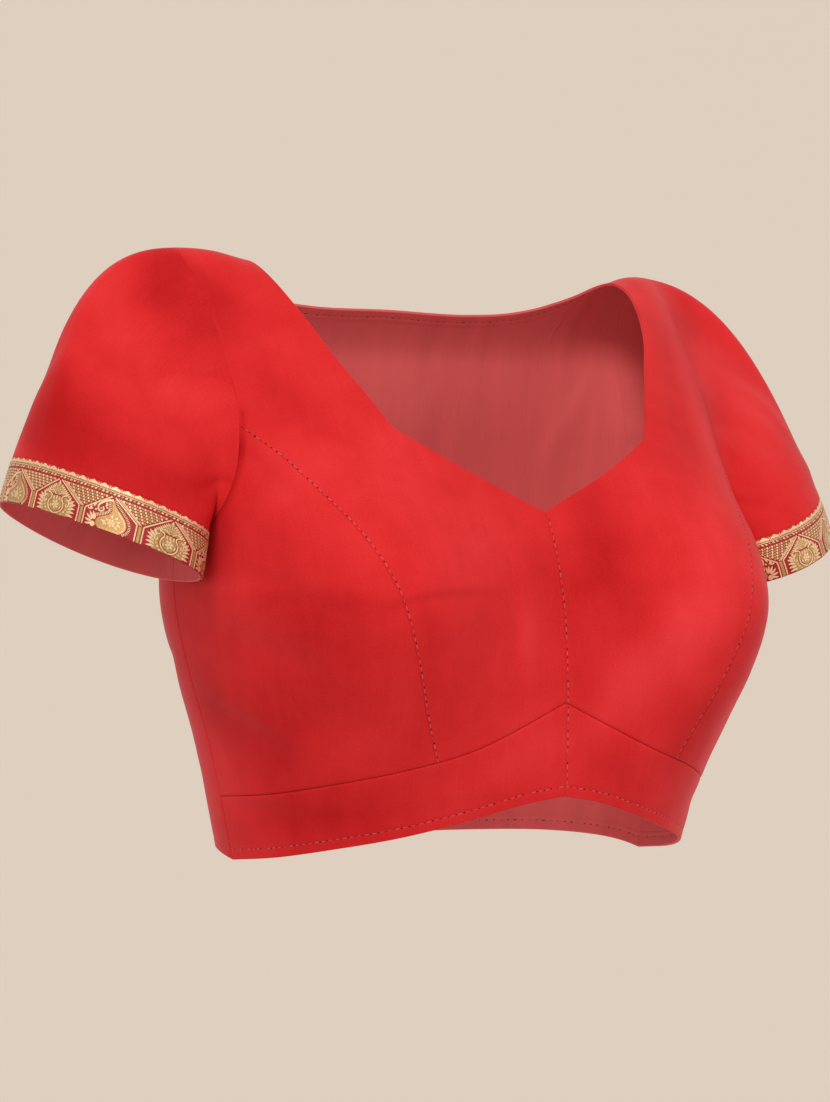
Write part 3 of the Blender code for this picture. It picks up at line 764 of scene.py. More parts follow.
CELL = 34.0
PILLAR_BARS = ((-1.9, 0.75, 9.3), (0.0, 1.7, 9.0), (1.9, 0.75, 9.3))
ROOF_FOOT = (1.9, 9.3)
ROOF_TOP = (16.1, 19.5)
LATTICE_PITCH = 1.5
LATTICE_SQUARE = 1.14
LATTICE_FOOT = 11.4
LATTICE_ROWS = 6
PETALS = 6
BUSH_DOTS = (7, 5, 3, 1)
BUSH_DOT_PITCH = 1.25
LOZENGE_PITCH = 2.267
HUMP_PITCH = 6.8
GOLD_LINE_HEIGHT = 22.3
RED_ABOVE = 22.7
EMBED = -0.06
LAYER_STEP = 0.06
BEVEL = 0.13
BEVEL_DEPTH = BEVEL * 0.6
MOTIF_PHASE = 0.484

Shape = namedtuple("Shape", "points faces layer light")


def path(cells, *points):
    """Points evenly along the smooth curve through a few given ones."""
    run = run_along(np.array(points, float))
    return smooth(run, points, np.linspace(0, run[-1], cells + 1))


def straight(*points, step=2.0):
    """Points along straight lines between a few given ones, no further apart than a step."""
    points = np.array(points, float)
    parts = [points[:1]]
    for start, end in zip(points[:-1], points[1:]):
        cells = max(1, int(np.ceil(np.linalg.norm(end - start) / step)))
        parts.append(start + (end - start) * np.linspace(0, 1, cells + 1)[1:, None])
    return np.vstack(parts)


def strip(left, right, layer=0, light=0, across=1):
    """Faces between two edges that run the same way, the first of them on the left hand."""
    share = np.linspace(0, 1, across + 1)[None, :, None]
    grid = right[:, None] * (1 - share) + left[:, None] * share
    faces = quads(*grid.shape[:2])[:, (0, 3, 2, 1)]
    return Shape(grid.reshape(-1, 2), faces.tolist(), layer, light)


def ribbon(spine, width, layer=1, light=1, taper=0.0):
    """A strip along a spine, narrowed towards its far end by the taper."""
    ahead = unit(np.gradient(spine, axis=0))
    side = np.stack([-ahead[:, 1], ahead[:, 0]], -1)
    half = width / 2 * (1 - taper * np.linspace(0, 1, len(spine)))[:, None]
    return strip(spine + side * half, spine - side * half, layer, light)


def leaf(root, tip, width, bend=0.0, layer=1):
    """A slender leaf from its root to its tip, bowed to the left by the bend."""
    root, tip = np.array(root, float), np.array(tip, float)
    way = tip - root
    side = np.array((-way[1], way[0])) / np.linalg.norm(way)
    share = np.array((0.0, 0.2, 0.45, 0.7, 0.9, 1.0))[:, None]
    swell = np.array((0.30, 0.85, 1.0, 0.80, 0.42, 0.10))[:, None]
    spine = root + way * share + side * bend * 4 * share * (1 - share)
    return strip(spine + side * swell * width / 2, spine - side * swell * width / 2, layer, 1)


def leaves(layer, *rows):
    """A leaf for each row, which gives its root, its tip, its width and its bend."""
    return [leaf(*row, layer) for row in rows]


def bead(x, y, radius, layer=1, corners=8):
    turn = 2 * math.pi * (np.arange(corners) + 0.5) / corners
    points = np.stack([x + radius * np.cos(turn), y + radius * np.sin(turn)], -1)
    return Shape(points, [list(range(corners))], layer, 1)


def block(corners, layer=0, light=0):
    return Shape(np.array(corners, float), [list(range(len(corners)))], layer, light)


def flipped(shapes):
    """The same shapes on the other side of x = 0."""
    return [Shape(s.points * (-1, 1), [face[::-1] for face in s.faces], s.layer, s.light) for s in shapes]


def shifted(shapes, x):
    return [Shape(s.points + (x, 0.0), s.faces, s.layer, s.light) for s in shapes]


def flower(x, y, reach):
    """Petals round a centre bead."""
    shapes = [bead(x, y, reach * 0.28, 2)]
    for i in range(PETALS):
        turn = 2 * math.pi * (i + 0.25) / PETALS
        way = np.array((math.cos(turn), math.sin(turn)))
        shapes.append(leaf((x, y) + way * reach * 0.32, (x, y) + way * reach, reach * 0.52))
    return shapes


def pillar():
    """The pillar between two cells, and the hatched gable that stands on it."""
    foot, top = np.array(ROOF_FOOT), np.array(ROOF_TOP)
    shapes = [ribbon(straight((x, 0.3), (x, height)), width, 1, x != 0) for x, width, height in PILLAR_BARS]
    shapes += [ribbon(straight(foot * (side, 1), top * (side, 1)), 0.75) for side in (-1, 1)]
    shapes += [ribbon(straight((inset - foot[0], 9.6), (inset * 1.25 - top[0], top[1])), 0.5, 0)
               for inset in (1.35, 2.45)]
    slope = (top[0] - foot[0]) / (top[1] - foot[1])
    half = LATTICE_SQUARE / 2
    for row in range(LATTICE_ROWS):
        y = LATTICE_FOOT + row * LATTICE_PITCH
        reach = foot[0] + (y - foot[1]) * slope
        for column, x in enumerate(np.arange(-reach + 4.1, reach - 1.4, LATTICE_PITCH)):
            shapes.append(block([(x - half, y - half), (x + half, y - half),
                                 (x + half, y + half), (x - half, y + half)], 0, (row + column) % 2))
    return shapes


def comb(start, end, teeth, length, width, lean):
    """A row of teeth that stand on a line, to its left."""
    start, end = np.array(start, float), np.array(end, float)
    way = (end - start) / np.linalg.norm(end - start)
    out = np.array((-way[1], way[0])) + way * lean
    roots = [start + (end - start) * (i + 0.5) / teeth for i in range(teeth)]
    return [leaf(root, root + out * length, width) for root in roots]


def bush():
    """The flowering bush of the border, the same on both sides."""
    edge = path(16, (8.6, 0.6), (10.5, 1.7), (11.0, 3.8), (11.2, 5.8), (11.7, 7.4), (11.0, 9.1), (9.4, 10.5))
    heart = path(16, (1.4, 0.6), (4.1, 1.9), (6.0, 4.6), (5.8, 7.2), (4.6, 9.0), (4.5, 9.9), (5.8, 10.6))
    slope = path(8, (9.0, 11.1), (6.6, 12.9), (4.0, 15.0), (1.9, 16.7), (0.6, 18.0))
    core = path(10, (0.4, 1.7), (2.6, 2.7), (4.2, 4.8), (4.1, 6.9), (2.9, 8.7), (2.6, 10.3))
    hook = path(12, (6.3, 9.6), (8.0, 8.8), (8.6, 7.0), (7.9, 5.6), (6.9, 6.2), (7.2, 7.3))
    stem = path(16, (0.2, 0.9), (3.0, 1.9), (5.1, 4.7), (4.9, 7.0), (3.6, 8.9), (3.6, 10.2), (5.2, 11.2))
    tendril = path(6, (0.9, 11.0), (2.2, 12.2), (4.2, 12.6), (6.0, 12.3))
    half = [strip(heart, edge, across=4)]
    half += leaves(1, ((7.9, 1.9), (12.7, 1.3), 1.3, 0.2), ((8.2, 3.3), (13.1, 3.5), 1.3, 0.3),
                   ((8.6, 4.8), (13.0, 5.8), 1.3, 0.3), ((9.2, 6.4), (12.9, 8.2), 1.4, 0.2),
                   ((8.6, 7.8), (11.6, 10.1), 1.4, -0.2), ((7.6, 8.6), (9.4, 11.2), 1.2, -0.2))
    half += [ribbon(hook, 0.62, 2), ribbon(stem, 0.8)]
    half += [bead(*row) for row in ((5.9, 11.4, 0.7), (6.3, 2.6, 0.6), (4.9, 1.1, 0.5), (7.3, 4.1, 0.5))]
    half += leaves(1, ((1.5, 8.0), (1.9, 10.2), 0.8, -0.3), ((2.9, 3.6), (3.3, 5.6), 0.7, -0.3))
    half += [ribbon(tendril, 0.6)] + comb((0.9, 16.0), (8.6, 9.9), 8, 1.9, 0.95, 0.25)
    shapes = half + flipped(half) + [strip(line * (-1, 1), line, across=across)
                                     for line, across in ((slope, 5), (core, 4))]
    shapes += leaves(1, ((0, 16.4), (0, 18.9), 1.2, 0), ((0, 8.0), (0, 10.6), 1.0, 0))
    for row, count in enumerate(BUSH_DOTS):
        y = 13.1 + row
        for i in range(count):
            x = (i - (count - 1) / 2) * BUSH_DOT_PITCH
            shapes.append(block([(x, y - 0.42), (x + 0.42, y), (x, y + 0.42), (x - 0.42, y)], 1, 1))
    return shapes + flower(0, 5.6, 2.6)


def bars(line, reach, width):
    """Short bars across a line, one to each step of it. Reach says how far they go to its left and right."""
    shapes = []
    for start, end in zip(line[:-1], line[1:]):
        middle, way = (start + end) / 2, unit(end - start)
        side = np.array((-way[1], way[0]))
        shapes.append(ribbon(straight(middle + side * reach[0], middle - side * reach[1]), width))
    return shapes


def mango():
    """The curled mango of the border, its curl to the left and a spray of leaves beside it."""
    right = path(22, (6.6, 0.7), (9.0, 2.7), (9.9, 5.3), (9.0, 8.2), (6.8, 10.7), (4.3, 12.9), (2.1, 14.9),
                 (0.8, 17.5))
    left = path(22, (-5.4, 0.7), (-7.5, 2.8), (-7.1, 5.6), (-4.4, 7.6), (-1.2, 9.2), (0.4, 11.6),
                (-0.1, 14.4), (-0.5, 17.3))
    rim = path(26, (8.2, 0.9), (10.5, 2.6), (11.5, 5.2), (10.5, 8.6), (8.1, 11.4), (5.4, 13.8), (2.9, 15.9),
               (1.4, 18.4))
    under = path(14, (-7.6, 7.2), (-4.9, 8.4), (-2.0, 9.9), (-0.6, 11.7), (-0.9, 14.0), (-1.4, 16.2))
    curl = path(24, (0.2, 17.6), (-2.4, 16.9), (-5.4, 15.0), (-7.6, 12.4), (-7.2, 10.3), (-5.2, 9.9),
                (-4.2, 11.4), (-5.1, 12.6))
    inner = path(12, (6.9, 1.9), (8.4, 3.6), (8.9, 5.6), (8.0, 8.0), (6.1, 10.1), (3.8, 12.3))
    shapes = [strip(left, right, across=9), ribbon(curl, 1.3, taper=0.4), ribbon(inner, 0.6)]
    shapes += bars(rim, (0.75, 0.75), 0.42) + bars(under, (1.0, 0.7), 0.5)
    shapes += leaves(0, ((-9.6, 2.6), (-13.6, 1.2), 1.2, 0.4), ((-9.8, 3.4), (-14.0, 3.8), 1.3, 0.4),
                     ((-9.6, 4.0), (-13.4, 6.4), 1.3, 0.2), ((-9.2, 4.4), (-12.0, 8.2), 1.3, 0.0),
                     ((-8.8, 4.6), (-10.0, 8.8), 1.3, -0.2), ((-8.4, 4.4), (-8.3, 8.3), 1.1, -0.2),
                     ((-12.4, 8.9), (-10.2, 10.0), 1.0, 0.2), ((-12.2, 9.0), (-10.9, 11.4), 1.1, 0.2),
                     ((-12.6, 9.0), (-13.4, 10.0), 0.9, 0.1), ((-10.2, 11.2), (-8.8, 13.2), 1.2, 0.2),
                     ((-3.6, 13.0), (-2.2, 14.6), 1.1, 0.1), ((-3.2, 12.6), (-1.8, 12.4), 0.9, 0.1))
    shapes += [bead(*row) for row in ((-9.0, 1.9, 1.5, 0, 10), (-8.7, 10.0, 0.6, 0), (-3.2, 14.9, 0.6, 0),
                                      (-5.9, 11.4, 0.5, 0))]
    shapes += [bead(x, 1.4, 0.45) for x in (-4.4, -2.4, -0.4, 1.6, 3.6, 5.4)]
    centre = np.array((1.4, 5.4))
    for tip, bend in (((-4.9, 5.6), 0.5), ((-3.4, 3.2), -0.5), ((6.2, 7.9), -0.5), ((7.0, 4.4), 0.5),
                      ((1.6, 10.0), 0.4), ((-2.2, 7.3), 0.4), ((4.4, 9.9), -0.3), ((5.2, 2.6), 0.3)):
        shapes.append(leaf(centre + (tip - centre) * 0.52, tip, 1.05, bend))
    return shapes + flower(*centre, 2.3)


def top_edging(width):
    """What runs on above the cells: lozenges, a gold line, and humps with sprouts between them."""
    shapes = []
    for i in range(round(width / LOZENGE_PITCH)):
        x = (i + 0.5) * LOZENGE_PITCH - CELL / 2
        shapes.append(block([(x - 0.95, 20.6), (x + 0.35, 20.6), (x + 0.95, 21.7), (x - 0.35, 21.7)], 0,
                            i % 3 != 0))
    low, high = 0.03 - CELL / 2, width - CELL / 2 - 0.03
    shapes.append(ribbon(straight((low, GOLD_LINE_HEIGHT), (high, GOLD_LINE_HEIGHT)), 0.5, 0))
    for i in range(round(width / HUMP_PITCH)):
        x = (i + 0.5) * HUMP_PITCH - CELL / 2
        shapes += [bead(x - 1.75, 23.7, 1.15, 0), bead(x + 1.75, 23.7, 1.15, 0), bead(x, 24.1, 1.5, 0, 10),
                   ribbon(straight((x - 2.3, 23.1), (x + 2.3, 23.1)), 0.8, 1, 0),
                   leaf((x + 3.4, 22.8), (x + 3.4, 25.2), 0.8, 0, 0)]
    return shapes


def border_repeat():
    """One repeat: a pillar, a bush, a pillar and a mango, as they are met from left to right."""
    return (shifted(pillar(), -CELL / 2) + bush() + shifted(pillar(), CELL / 2) + shifted(mango(), CELL)
            + top_edging(2 * CELL))


def raised(shapes, relief):
    """Raise flat shapes off their ground and bevel them. Gives points in millimetres, faces and shades."""
    bpy.ops.object.select_all(action="DESELECT")
    points, faces, shades, start = [], [], [], 0
    for layer in sorted({shape.layer for shape in shapes}):
        flat, corners, light = [], [], []
        for shape in shapes:
            if shape.layer == layer:
                corners += [[len(flat) + corner for corner in face] for face in shape.faces]
                flat += [(x, y, EMBED) for x, y in shape.points]
                light += [shape.light] * len(shape.faces)
        mesh = new_mesh("motif_layer", np.array(flat), corners, light)
        drawn = bpy.data.objects.new("motif_layer", mesh)
        bpy.context.scene.collection.objects.link(drawn)
        for _ in range(2):      # places for both golds, or the faces' numbers would be lost
            mesh.materials.append(None)
        bpy.context.view_layer.objects.active = drawn
        drawn.select_set(True)
        bpy.ops.object.mode_set(mode="EDIT")
        bpy.ops.mesh.select_all(action="SELECT")
        height = relief / MM - EMBED + layer * LAYER_STEP
        bpy.ops.mesh.extrude_region_move(TRANSFORM_OT_translate={"value": (0.0, 0.0, height)})
        bpy.ops.mesh.inset(thickness=BEVEL, depth=BEVEL_DEPTH)
        bpy.ops.mesh.select_all(action="SELECT")
        bpy.ops.mesh.normals_make_consistent(inside=False)
        bpy.ops.object.mode_set(mode="OBJECT")
        points += [vertex.co[:] for vertex in mesh.vertices]
        faces += [[start + corner for corner in face.vertices] for face in mesh.polygons]
        shades += [face.material_index for face in mesh.polygons]
        start = len(points)
        bpy.data.objects.remove(drawn)
        bpy.data.meshes.remove(mesh)
    return np.array(points), faces, shades


def look_up(panel, turn_share, height):
    """Points and normals of a ring at shares of the way round it and heights in metres."""
    rows, columns = panel.surface.shape[:2]
    run = run_along(panel.surface[rows // 2])
    column = np.interp(np.mod(turn_share, 1.0) * run[-1], run, np.arange(columns))
    row = np.interp(height, panel.uv[:, columns // 2, 1], np.arange(rows))
    i = np.clip(row.astype(int), 0, rows - 2)
    j = np.clip(column.astype(int), 0, columns - 2)
    u, v = (column - j)[:, None], (row - i)[:, None]
    point, normal = [(1 - v) * ((1 - u) * grid[i, j] + u * grid[i, j + 1])
                     + v * ((1 - u) * grid[i + 1, j] + u * grid[i + 1, j + 1])
                     for grid in (panel.surface, panel.normal)]
    return point, unit(normal)


def wrap_motifs(name, panel, repeat, repeats, right, materials):
    """Wrap the repeats round a sleeve border as on the wearer's left, and mirror them for the right."""
    flat, faces, shades = repeat
    points, uvs, corners = [], [], []
    for i in range(repeats):
        turn = MOTIF_PHASE - ((flat[:, 0] + CELL / 2) / (2 * CELL) + i) / repeats
        point, normal = look_up(panel, turn, flat[:, 1] * MM)
        points.append(point + normal * flat[:, 2:] * MM)
        uvs.append((flat[:, :2] + (2 * CELL * i, 0)) * MM)
        corners += [[corner + i * len(flat) for corner in face[::1 if right else -1]] for face in faces]
    points = np.vstack(points) * (MIRROR if right else 1)
    mesh = new_mesh(name, points, corners, shades * repeats, np.vstack(uvs))
    return finished(name, mesh, materials)


# Sewing

STITCH_START = 2.0 * MM
STITCH_UNEVEN = 0.34
STITCH_SIZE = 0.84
STITCH_SUNK = 0.10 * MM
HOLE_SUNK = 0.02 * MM
# Sizes of the laid stitch, the needle hole and the bobbin stitch as shares of the thread or of their length
STITCH_HEIGHT = 0.8
HOLE_LENGTH = 0.85
HOLE_WIDTH = 1.7
HOLE_HEIGHT = 0.6
BOBBIN_LENGTH = 0.62
BOBBIN_WIDTH = 1.7
Thread = namedtuple("Thread", "points normals")


def below(cells):
    """The part of a front's column that lies below a number of coarse cells."""
    return slice((cells * FINE + len(EDGE_STEPS) - 2) * FRONT_TIMES)


def at_distances(line, pitch, start):
    """Places along a line at even distances, with the way it runs and the cloth's normal there."""
    run = run_along(line.points)
    at = np.interp(np.arange(start, run[-1] - pitch / 3, pitch), run, np.arange(len(run)))
    low = np.clip(at.astype(int), 0, len(run) - 2)
    ahead = unit(line.points[low + 1] - line.points[low])
    normal = unit(between(line.normals, at))
    normal = unit(normal - ahead * (normal * ahead).sum(-1, keepdims=True))
    return between(line.points, at), ahead, normal


def one_grain(length, width, height):
    """A rounded grain that a stitch is made of, lying along X."""
    bpy.ops.mesh.primitive_uv_sphere_add(segments=8, ring_count=6, radius=0.5)
    grain = bpy.context.active_object
    bpy.ops.transform.resize(value=(length, width, height))
    bpy.ops.object.transform_apply(location=True, rotation=True, scale=True)
    mesh = grain.data
    points = np.array([vertex.co[:] for vertex in mesh.vertices])
    faces = [list(face.vertices) for face in mesh.polygons]
    bpy.data.objects.remove(grain)
    bpy.data.meshes.remove(mesh)
    return points, faces


def laid_along(grain, place, ahead, normal, sunk):
    """Copies of a grain set along a line, sunk into the cloth a little. They aren't pulled equally tight."""
    points, faces = grain
    side = np.cross(normal, ahead)
    count = np.arange(len(place))
    swell = (STITCH_SIZE + STITCH_UNEVEN * np.sin(2.4 * count) * np.cos(0.7 * count + 1))[:, None, None]
    copies = (place[:, None] + points[None, :, 0:1] * swell * ahead[:, None]
              + points[None, :, 1:2] * swell * side[:, None]
              + (points[None, :, 2:3] * swell - sunk) * normal[:, None])
    corners = [[corner + i * len(points) for corner in face] for i in range(len(place)) for face in faces]
    return copies.reshape(-1, 3), corners


def sew_lines(name, lines, pitch, grains):
    """Stitch some lines. Each kind of grain has its material, its shift along the line and its depth."""
    points, faces, numbers = [], [], []
    for line in lines:
        for number, (grain, material, shift, sunk) in enumerate(grains):
            place, ahead, normal = at_distances(line, pitch, STITCH_START + shift * pitch)
            copies, corners = laid_along(grain, place, ahead, normal, sunk)
            faces += [[corner + len(points) for corner in face] for face in corners]
            points += copies.tolist()
            numbers += [number] * len(corners)
    mesh = new_mesh(name, np.array(points), faces, numbers)
    mesh.shade_smooth()
    finished(name, mesh, [material for grain, material, shift, sunk in grains])


# Materials

WAVE_RADIANS = 20  # how far the wave texture turns in each unit


def add(tree, kind, settings=None, stops=(), **inputs):
    """Add a node of some shader kind with its settings, colour stops and inputs.

    A node that is given as an input is linked by its first output. A _ in an input's name stands for a
    space, and _ with a number is the input of that number."""
    made = tree.nodes.new(f"ShaderNode{kind}")
    for key, value in (settings or {}).items():
        setattr(made, key, value)
    for i, (place, colour) in enumerate(stops):
        elements = made.color_ramp.elements
        element = elements[i] if i < len(elements) else elements.new(place)
        element.position, element.color = place, colour
    for key, value in inputs.items():
        socket = made.inputs[int(key[1:])] if key[1:].isdigit() else made.inputs[key.replace("_", " ")]
        if isinstance(value, bpy.types.Node):
            value = value.outputs[0]
        if isinstance(value, bpy.types.NodeSocket):
            tree.links.new(value, socket)
        else:
            socket.default_value = value
    return made


def new_material(name, draw, *looks):
    """A material whose surface is what this function draws on its tree with these looks."""
    material = bpy.data.materials.new(name)
    material.use_nodes = True
    material.node_tree.nodes.clear()
    add(material.node_tree, "OutputMaterial", Surface=draw(material.node_tree, *looks))


def shaded(colour, share):
    return [channel * share for channel in colour[:3]] + [1.0]


def weave_places(tree, along, across):
    """The cloth's flat places, counted in threads along and across."""
    flat = add(tree, "UVMap", {"uv_map": "cloth"})
    return add(tree, "Mapping", Vector=flat, Scale=(1 / along, 1 / across, 1.0))


def threads(tree, along, across, detail, roughness=0.6):
    """Noise stretched along the cloth's threads."""
    return add(tree, "TexNoise", Vector=weave_places(tree, along, across), Scale=1.0, Detail=detail,
               Roughness=roughness)


def mixed(tree, total, *layers):
    """A number with some patterns added to it, each by its share."""
    for pattern, share in layers:
        total = add(tree, "Math", {"operation": "MULTIPLY_ADD"}, _0=pattern, _1=share, _2=total)
    return total


def red_satin_silk(tree, colours):
    """Satin woven silk, right side: soft sheen, faint slubs along the warp, and a very fine weave."""
    place = add(tree, "TexCoord").outputs["Object"]
    cloud = add(tree, "TexNoise", Vector=place, Scale=24.0, Detail=4.0, Roughness=0.55)
    band = threads(tree, 9 * MM, 130 * MM, 2.0, 0.5)
    # The warp is 0.1 mm; it is drawn 0.8 mm wide and 20 mm long, the finest that this view can show
    slub = threads(tree, 0.8 * MM, 20 * MM, 3.0)
    speck = threads(tree, 0.9 * MM, 0.7 * MM, 2.0, 0.7)
    # The shade attribute paints highlight and shade on the satin; the noises add random tone
    shade = add(tree, "Attribute", {"attribute_name": "shade"}).outputs["Fac"]
    noise = ((cloud, 0.50), (band, 0.10), (slub, 0.13), (speck, 0.46))
    tone_and_painted_shade = mixed(tree, 0.5 - sum(share for pattern, share in noise) / 2, (shade, 0.36), *noise)
    colour = add(tree, "ValToRGB", Fac=tone_and_painted_shade,
                 stops=((0.12, colours.silk_deep), (0.5, colours.silk), (0.88, colours.silk_light)))
    weave = add(tree, "Bump", Strength=0.25, Distance=0.12 * MM, Height=mixed(tree, slub, (speck, 0.6)))
    return add(tree, "BsdfPrincipled", Base_Color=colour, Roughness=0.48, Specular_IOR_Level=0.08,
               Specular_Tint=linear("#FF6C68"), Sheen_Weight=0.02, Sheen_Roughness=0.4,
               Sheen_Tint=linear("#FF4A46"), Normal=weave)


def silk_wrong_side(tree, colours):
    """Satin woven silk, wrong side: the dull face of the same cloth."""
    band = threads(tree, 15 * MM, 150 * MM, 3.0, 0.5)
    # The warp is drawn 0.9 mm wide, coarser than the real 0.1 mm
    slub = threads(tree, 0.9 * MM, 16 * MM, 3.0)
    colour = add(tree, "ValToRGB", Fac=mixed(tree, 0.0, (band, 0.65), (slub, 0.35)),
                 stops=((0.3, shaded(colours.wrong_side, 0.88)), (0.7, shaded(colours.wrong_side, 1.04))))
    weave = add(tree, "Bump", Strength=0.2, Distance=0.1 * MM, Height=slub)
    return add(tree, "BsdfPrincipled", Base_Color=colour, Roughness=0.75, Specular_IOR_Level=0.2,
               Normal=weave)


def zari_ground(tree, colours):
    """Deep red silk that the gold weft is woven into, with the sleeve's red above the gold line."""
    flat = add(tree, "UVMap", {"uv_map": "cloth"})
    height = add(tree, "SeparateXYZ", Vector=flat).outputs[1]
    above = add(tree, "Math", {"operation": "GREATER_THAN"}, _0=height, _1=RED_ABOVE * MM)
    # Threads drawn 0.6 mm apart, coarser than the real 0.1 mm
    thread = threads(tree, 6 * MM, 0.6 * MM, 2.0, 0.5)
    low = add(tree, "ValToRGB", Fac=thread,
              stops=((0.3, shaded(colours.zari_ground, 0.72)), (0.7, colours.zari_ground)))
    high = add(tree, "ValToRGB", Fac=thread, stops=((0.3, colours.silk_deep), (0.75, colours.silk)))
    colour = add(tree, "Mix", {"data_type": "RGBA"}, Factor=above, _6=low, _7=high).outputs[2]
    weave = add(tree, "Bump", Strength=0.25, Distance=0.1 * MM, Height=thread)
    return add(tree, "BsdfPrincipled", Base_Color=colour, Roughness=0.5, Specular_IOR_Level=0.3,
               Normal=weave)


def zari_gold(tree, *stops):
    """Gold wrapped thread floated over the ground: soft metal with fine weft ribs."""
    grain = threads(tree, 1.2 * MM, 0.5 * MM, 2.0, 0.7)
    # Ribs drawn 0.55 mm apart, coarser than the real 0.2 mm
    places = weave_places(tree, 1.0, 0.55 * MM * WAVE_RADIANS / math.tau)
    ribs = add(tree, "TexWave", {"wave_type": "BANDS", "bands_direction": "Y"}, Vector=places,
               Scale=1.0, Distortion=0.6).outputs[1]
    colour = add(tree, "ValToRGB", Fac=grain, stops=stops)
    weave = add(tree, "Bump", Strength=0.5, Distance=0.12 * MM,
                Height=mixed(tree, 0.0, (ribs, 0.7), (grain, 0.5)))
    return add(tree, "BsdfPrincipled", Base_Color=colour, Metallic=0.45, Roughness=0.42,
               Specular_IOR_Level=0.5, Normal=weave)


def plain(tree, colour, roughness):
    """An even surface: sewing thread, or the backdrop paper."""
    return add(tree, "BsdfPrincipled", Base_Color=colour, Roughness=roughness,
               Specular_IOR_Level=0.25)


def make_materials():
    """Make the materials of all the pieces once, from the colours of the panel."""
    colours = bpy.context.scene.blouse_colours
    for name, draw, *looks in (
            ("red_satin_silk", red_satin_silk, colours),
            ("red_silk_wrong_side", silk_wrong_side, colours),
            ("zari_silk_ground", zari_ground, colours),
            ("zari_gold_thread", zari_gold, (0.2, shaded(colours.zari, 0.5)), (0.7, colours.zari)),
            ("zari_gold_thread_light", zari_gold, (0.25, colours.zari), (0.6, colours.zari_light)),
            # Spun sewing thread: the top thread, the thread shadowed in the needle hole, and the bobbin's
            ("top_thread", plain, colours.thread, 0.6),
            ("needle_hole", plain, colours.needle_hole, 0.8),
            ("bobbin_thread", plain, colours.bobbin, 0.7),
            # Matt paper
            ("backdrop_paper", plain, colours.backdrop, 0.95)):
        if name not in bpy.data.materials:
            new_material(name, draw, *looks)


# Pieces

SILK = ("red_satin_silk", "red_silk_wrong_side")
ZARI_GROUND = ("zari_silk_ground", "red_silk_wrong_side")
ZARI_GOLD = ("zari_gold_thread", "zari_gold_thread_light")
SIDES = (("_left", False), ("_right", True))


def everywhere(ends):
    return np.ones(ends.shape[:2], bool)


def in_neck(ends):
    return np.abs(ends[..., 0]) < NECK_HALF_WIDTH


def above_neck_point(ends):
    return ends[..., 2] > NECK_POINT_HEIGHT - SMALL_STEP


# How each part is shaped: body panels by their grid, folds, edge at the waistband and lines to each of the
# grid's, and rings of a sleeve by their heights and rows
PANELS = {
    "back": (body_panel, back_grid, {"bottom": everywhere, "top": in_neck}, None, 1),
    "front_centre": (body_panel, front_centre_grid, {"inner": above_neck_point}, "bottom"),
    "front_side": (body_panel, front_side_grid, {}, "bottom"),
    "waistband": (body_panel, waistband_grid, {"bottom": everywhere}, "top"),
    "sleeve": (sleeve_panel, BORDER_WIDTH, None, SLEEVE_ROWS),
    "sleeve_border": (sleeve_panel, 0.0, BORDER_WIDTH, BORDER_ROWS),
}


def panel_of(part, right=False):
    """The panel of a part, as on the wearer's left but with the creases of its own side."""
    shape, *choices = PANELS[part]
    return shape(bpy.context.scene.blouse_sizes, right, *choices)


def stitched(panel, line, part=slice(None), wrong_side=False, upwards=False):
    """A line of stitches on a panel, along one of its rows, or upwards along one of its columns."""
    face, normal = (panel.inner, -panel.normal) if wrong_side else (panel.outer, panel.normal)
    if upwards:
        face, normal = face.swapaxes(0, 1), normal.swapaxes(0, 1)
    return Thread(face[line][part], normal[line][part])


def stitch_lines():
    """The lines of stitches that show on the right side and on the wrong side."""
    hem_row = list(HEM_STEPS).index(STITCH_INSET)
    back = panel_of("back")
    neck = in_neck(back.surface[-1])
    outside, inside = [[stitched(back, hem_row, wrong_side=wrong), stitched(back, -1 - hem_row, neck, wrong)]
                       for wrong in (False, True)]
    hem_row *= FRONT_TIMES
    seam_column = (len(EDGE_STEPS) - 2) * FRONT_TIMES
    for _, right in SIDES:
        centre, band = [placed(panel_of(part, right), right) for part in ("front_centre", "waistband")]
        outside.append(stitched(centre, seam_column if right else -1 - seam_column, below(PRINCESS_ROWS),
                                upwards=True))
        outside.append(stitched(band, hem_row))
        inside.append(stitched(band, hem_row, wrong_side=True))
        if not right:
            outside.append(stitched(centre, seam_column, below(FRONT_OPENING_ROWS), upwards=True))
            outside.append(stitched(band, seam_column, slice(hem_row, None), upwards=True))
    return outside, inside


def sew_sides(*parts):
    """Make the left and the right piece of each of these parts in silk."""
    make_materials()
    for side, right in SIDES:
        for part in parts:
            sew(part, side, placed(panel_of(part, right), right), SILK)
    return {"FINISHED"}


class BLOUSE_OT_back(bpy.types.Operator):
    """Make the one-piece back with its folded neck and hem"""
    bl_idname = "blouse.back"
    bl_label = "Back"

    def execute(self, context):
        make_materials()
        sew("back", "", panel_of("back"), SILK)
        return {"FINISHED"}


class BLOUSE_OT_fronts(bpy.types.Operator):
    """Make the two centre fronts and the two side fronts"""
    bl_idname = "blouse.fronts"
    bl_label = "Fronts"

    def execute(self, context):
        return sew_sides("front_centre", "front_side")


class BLOUSE_OT_waistband(bpy.types.Operator):
    """Make the two halves of the peaked waistband"""
    bl_idname = "blouse.waistband"
    bl_label = "Waistband"

    def execute(self, context):
        return sew_sides("waistband")


class BLOUSE_OT_sleeves(bpy.types.Operator):
    """Make the two short sleeves"""
    bl_idname = "blouse.sleeves"
    bl_label = "Sleeves"

    def execute(self, context):
        return sew_sides("sleeve")


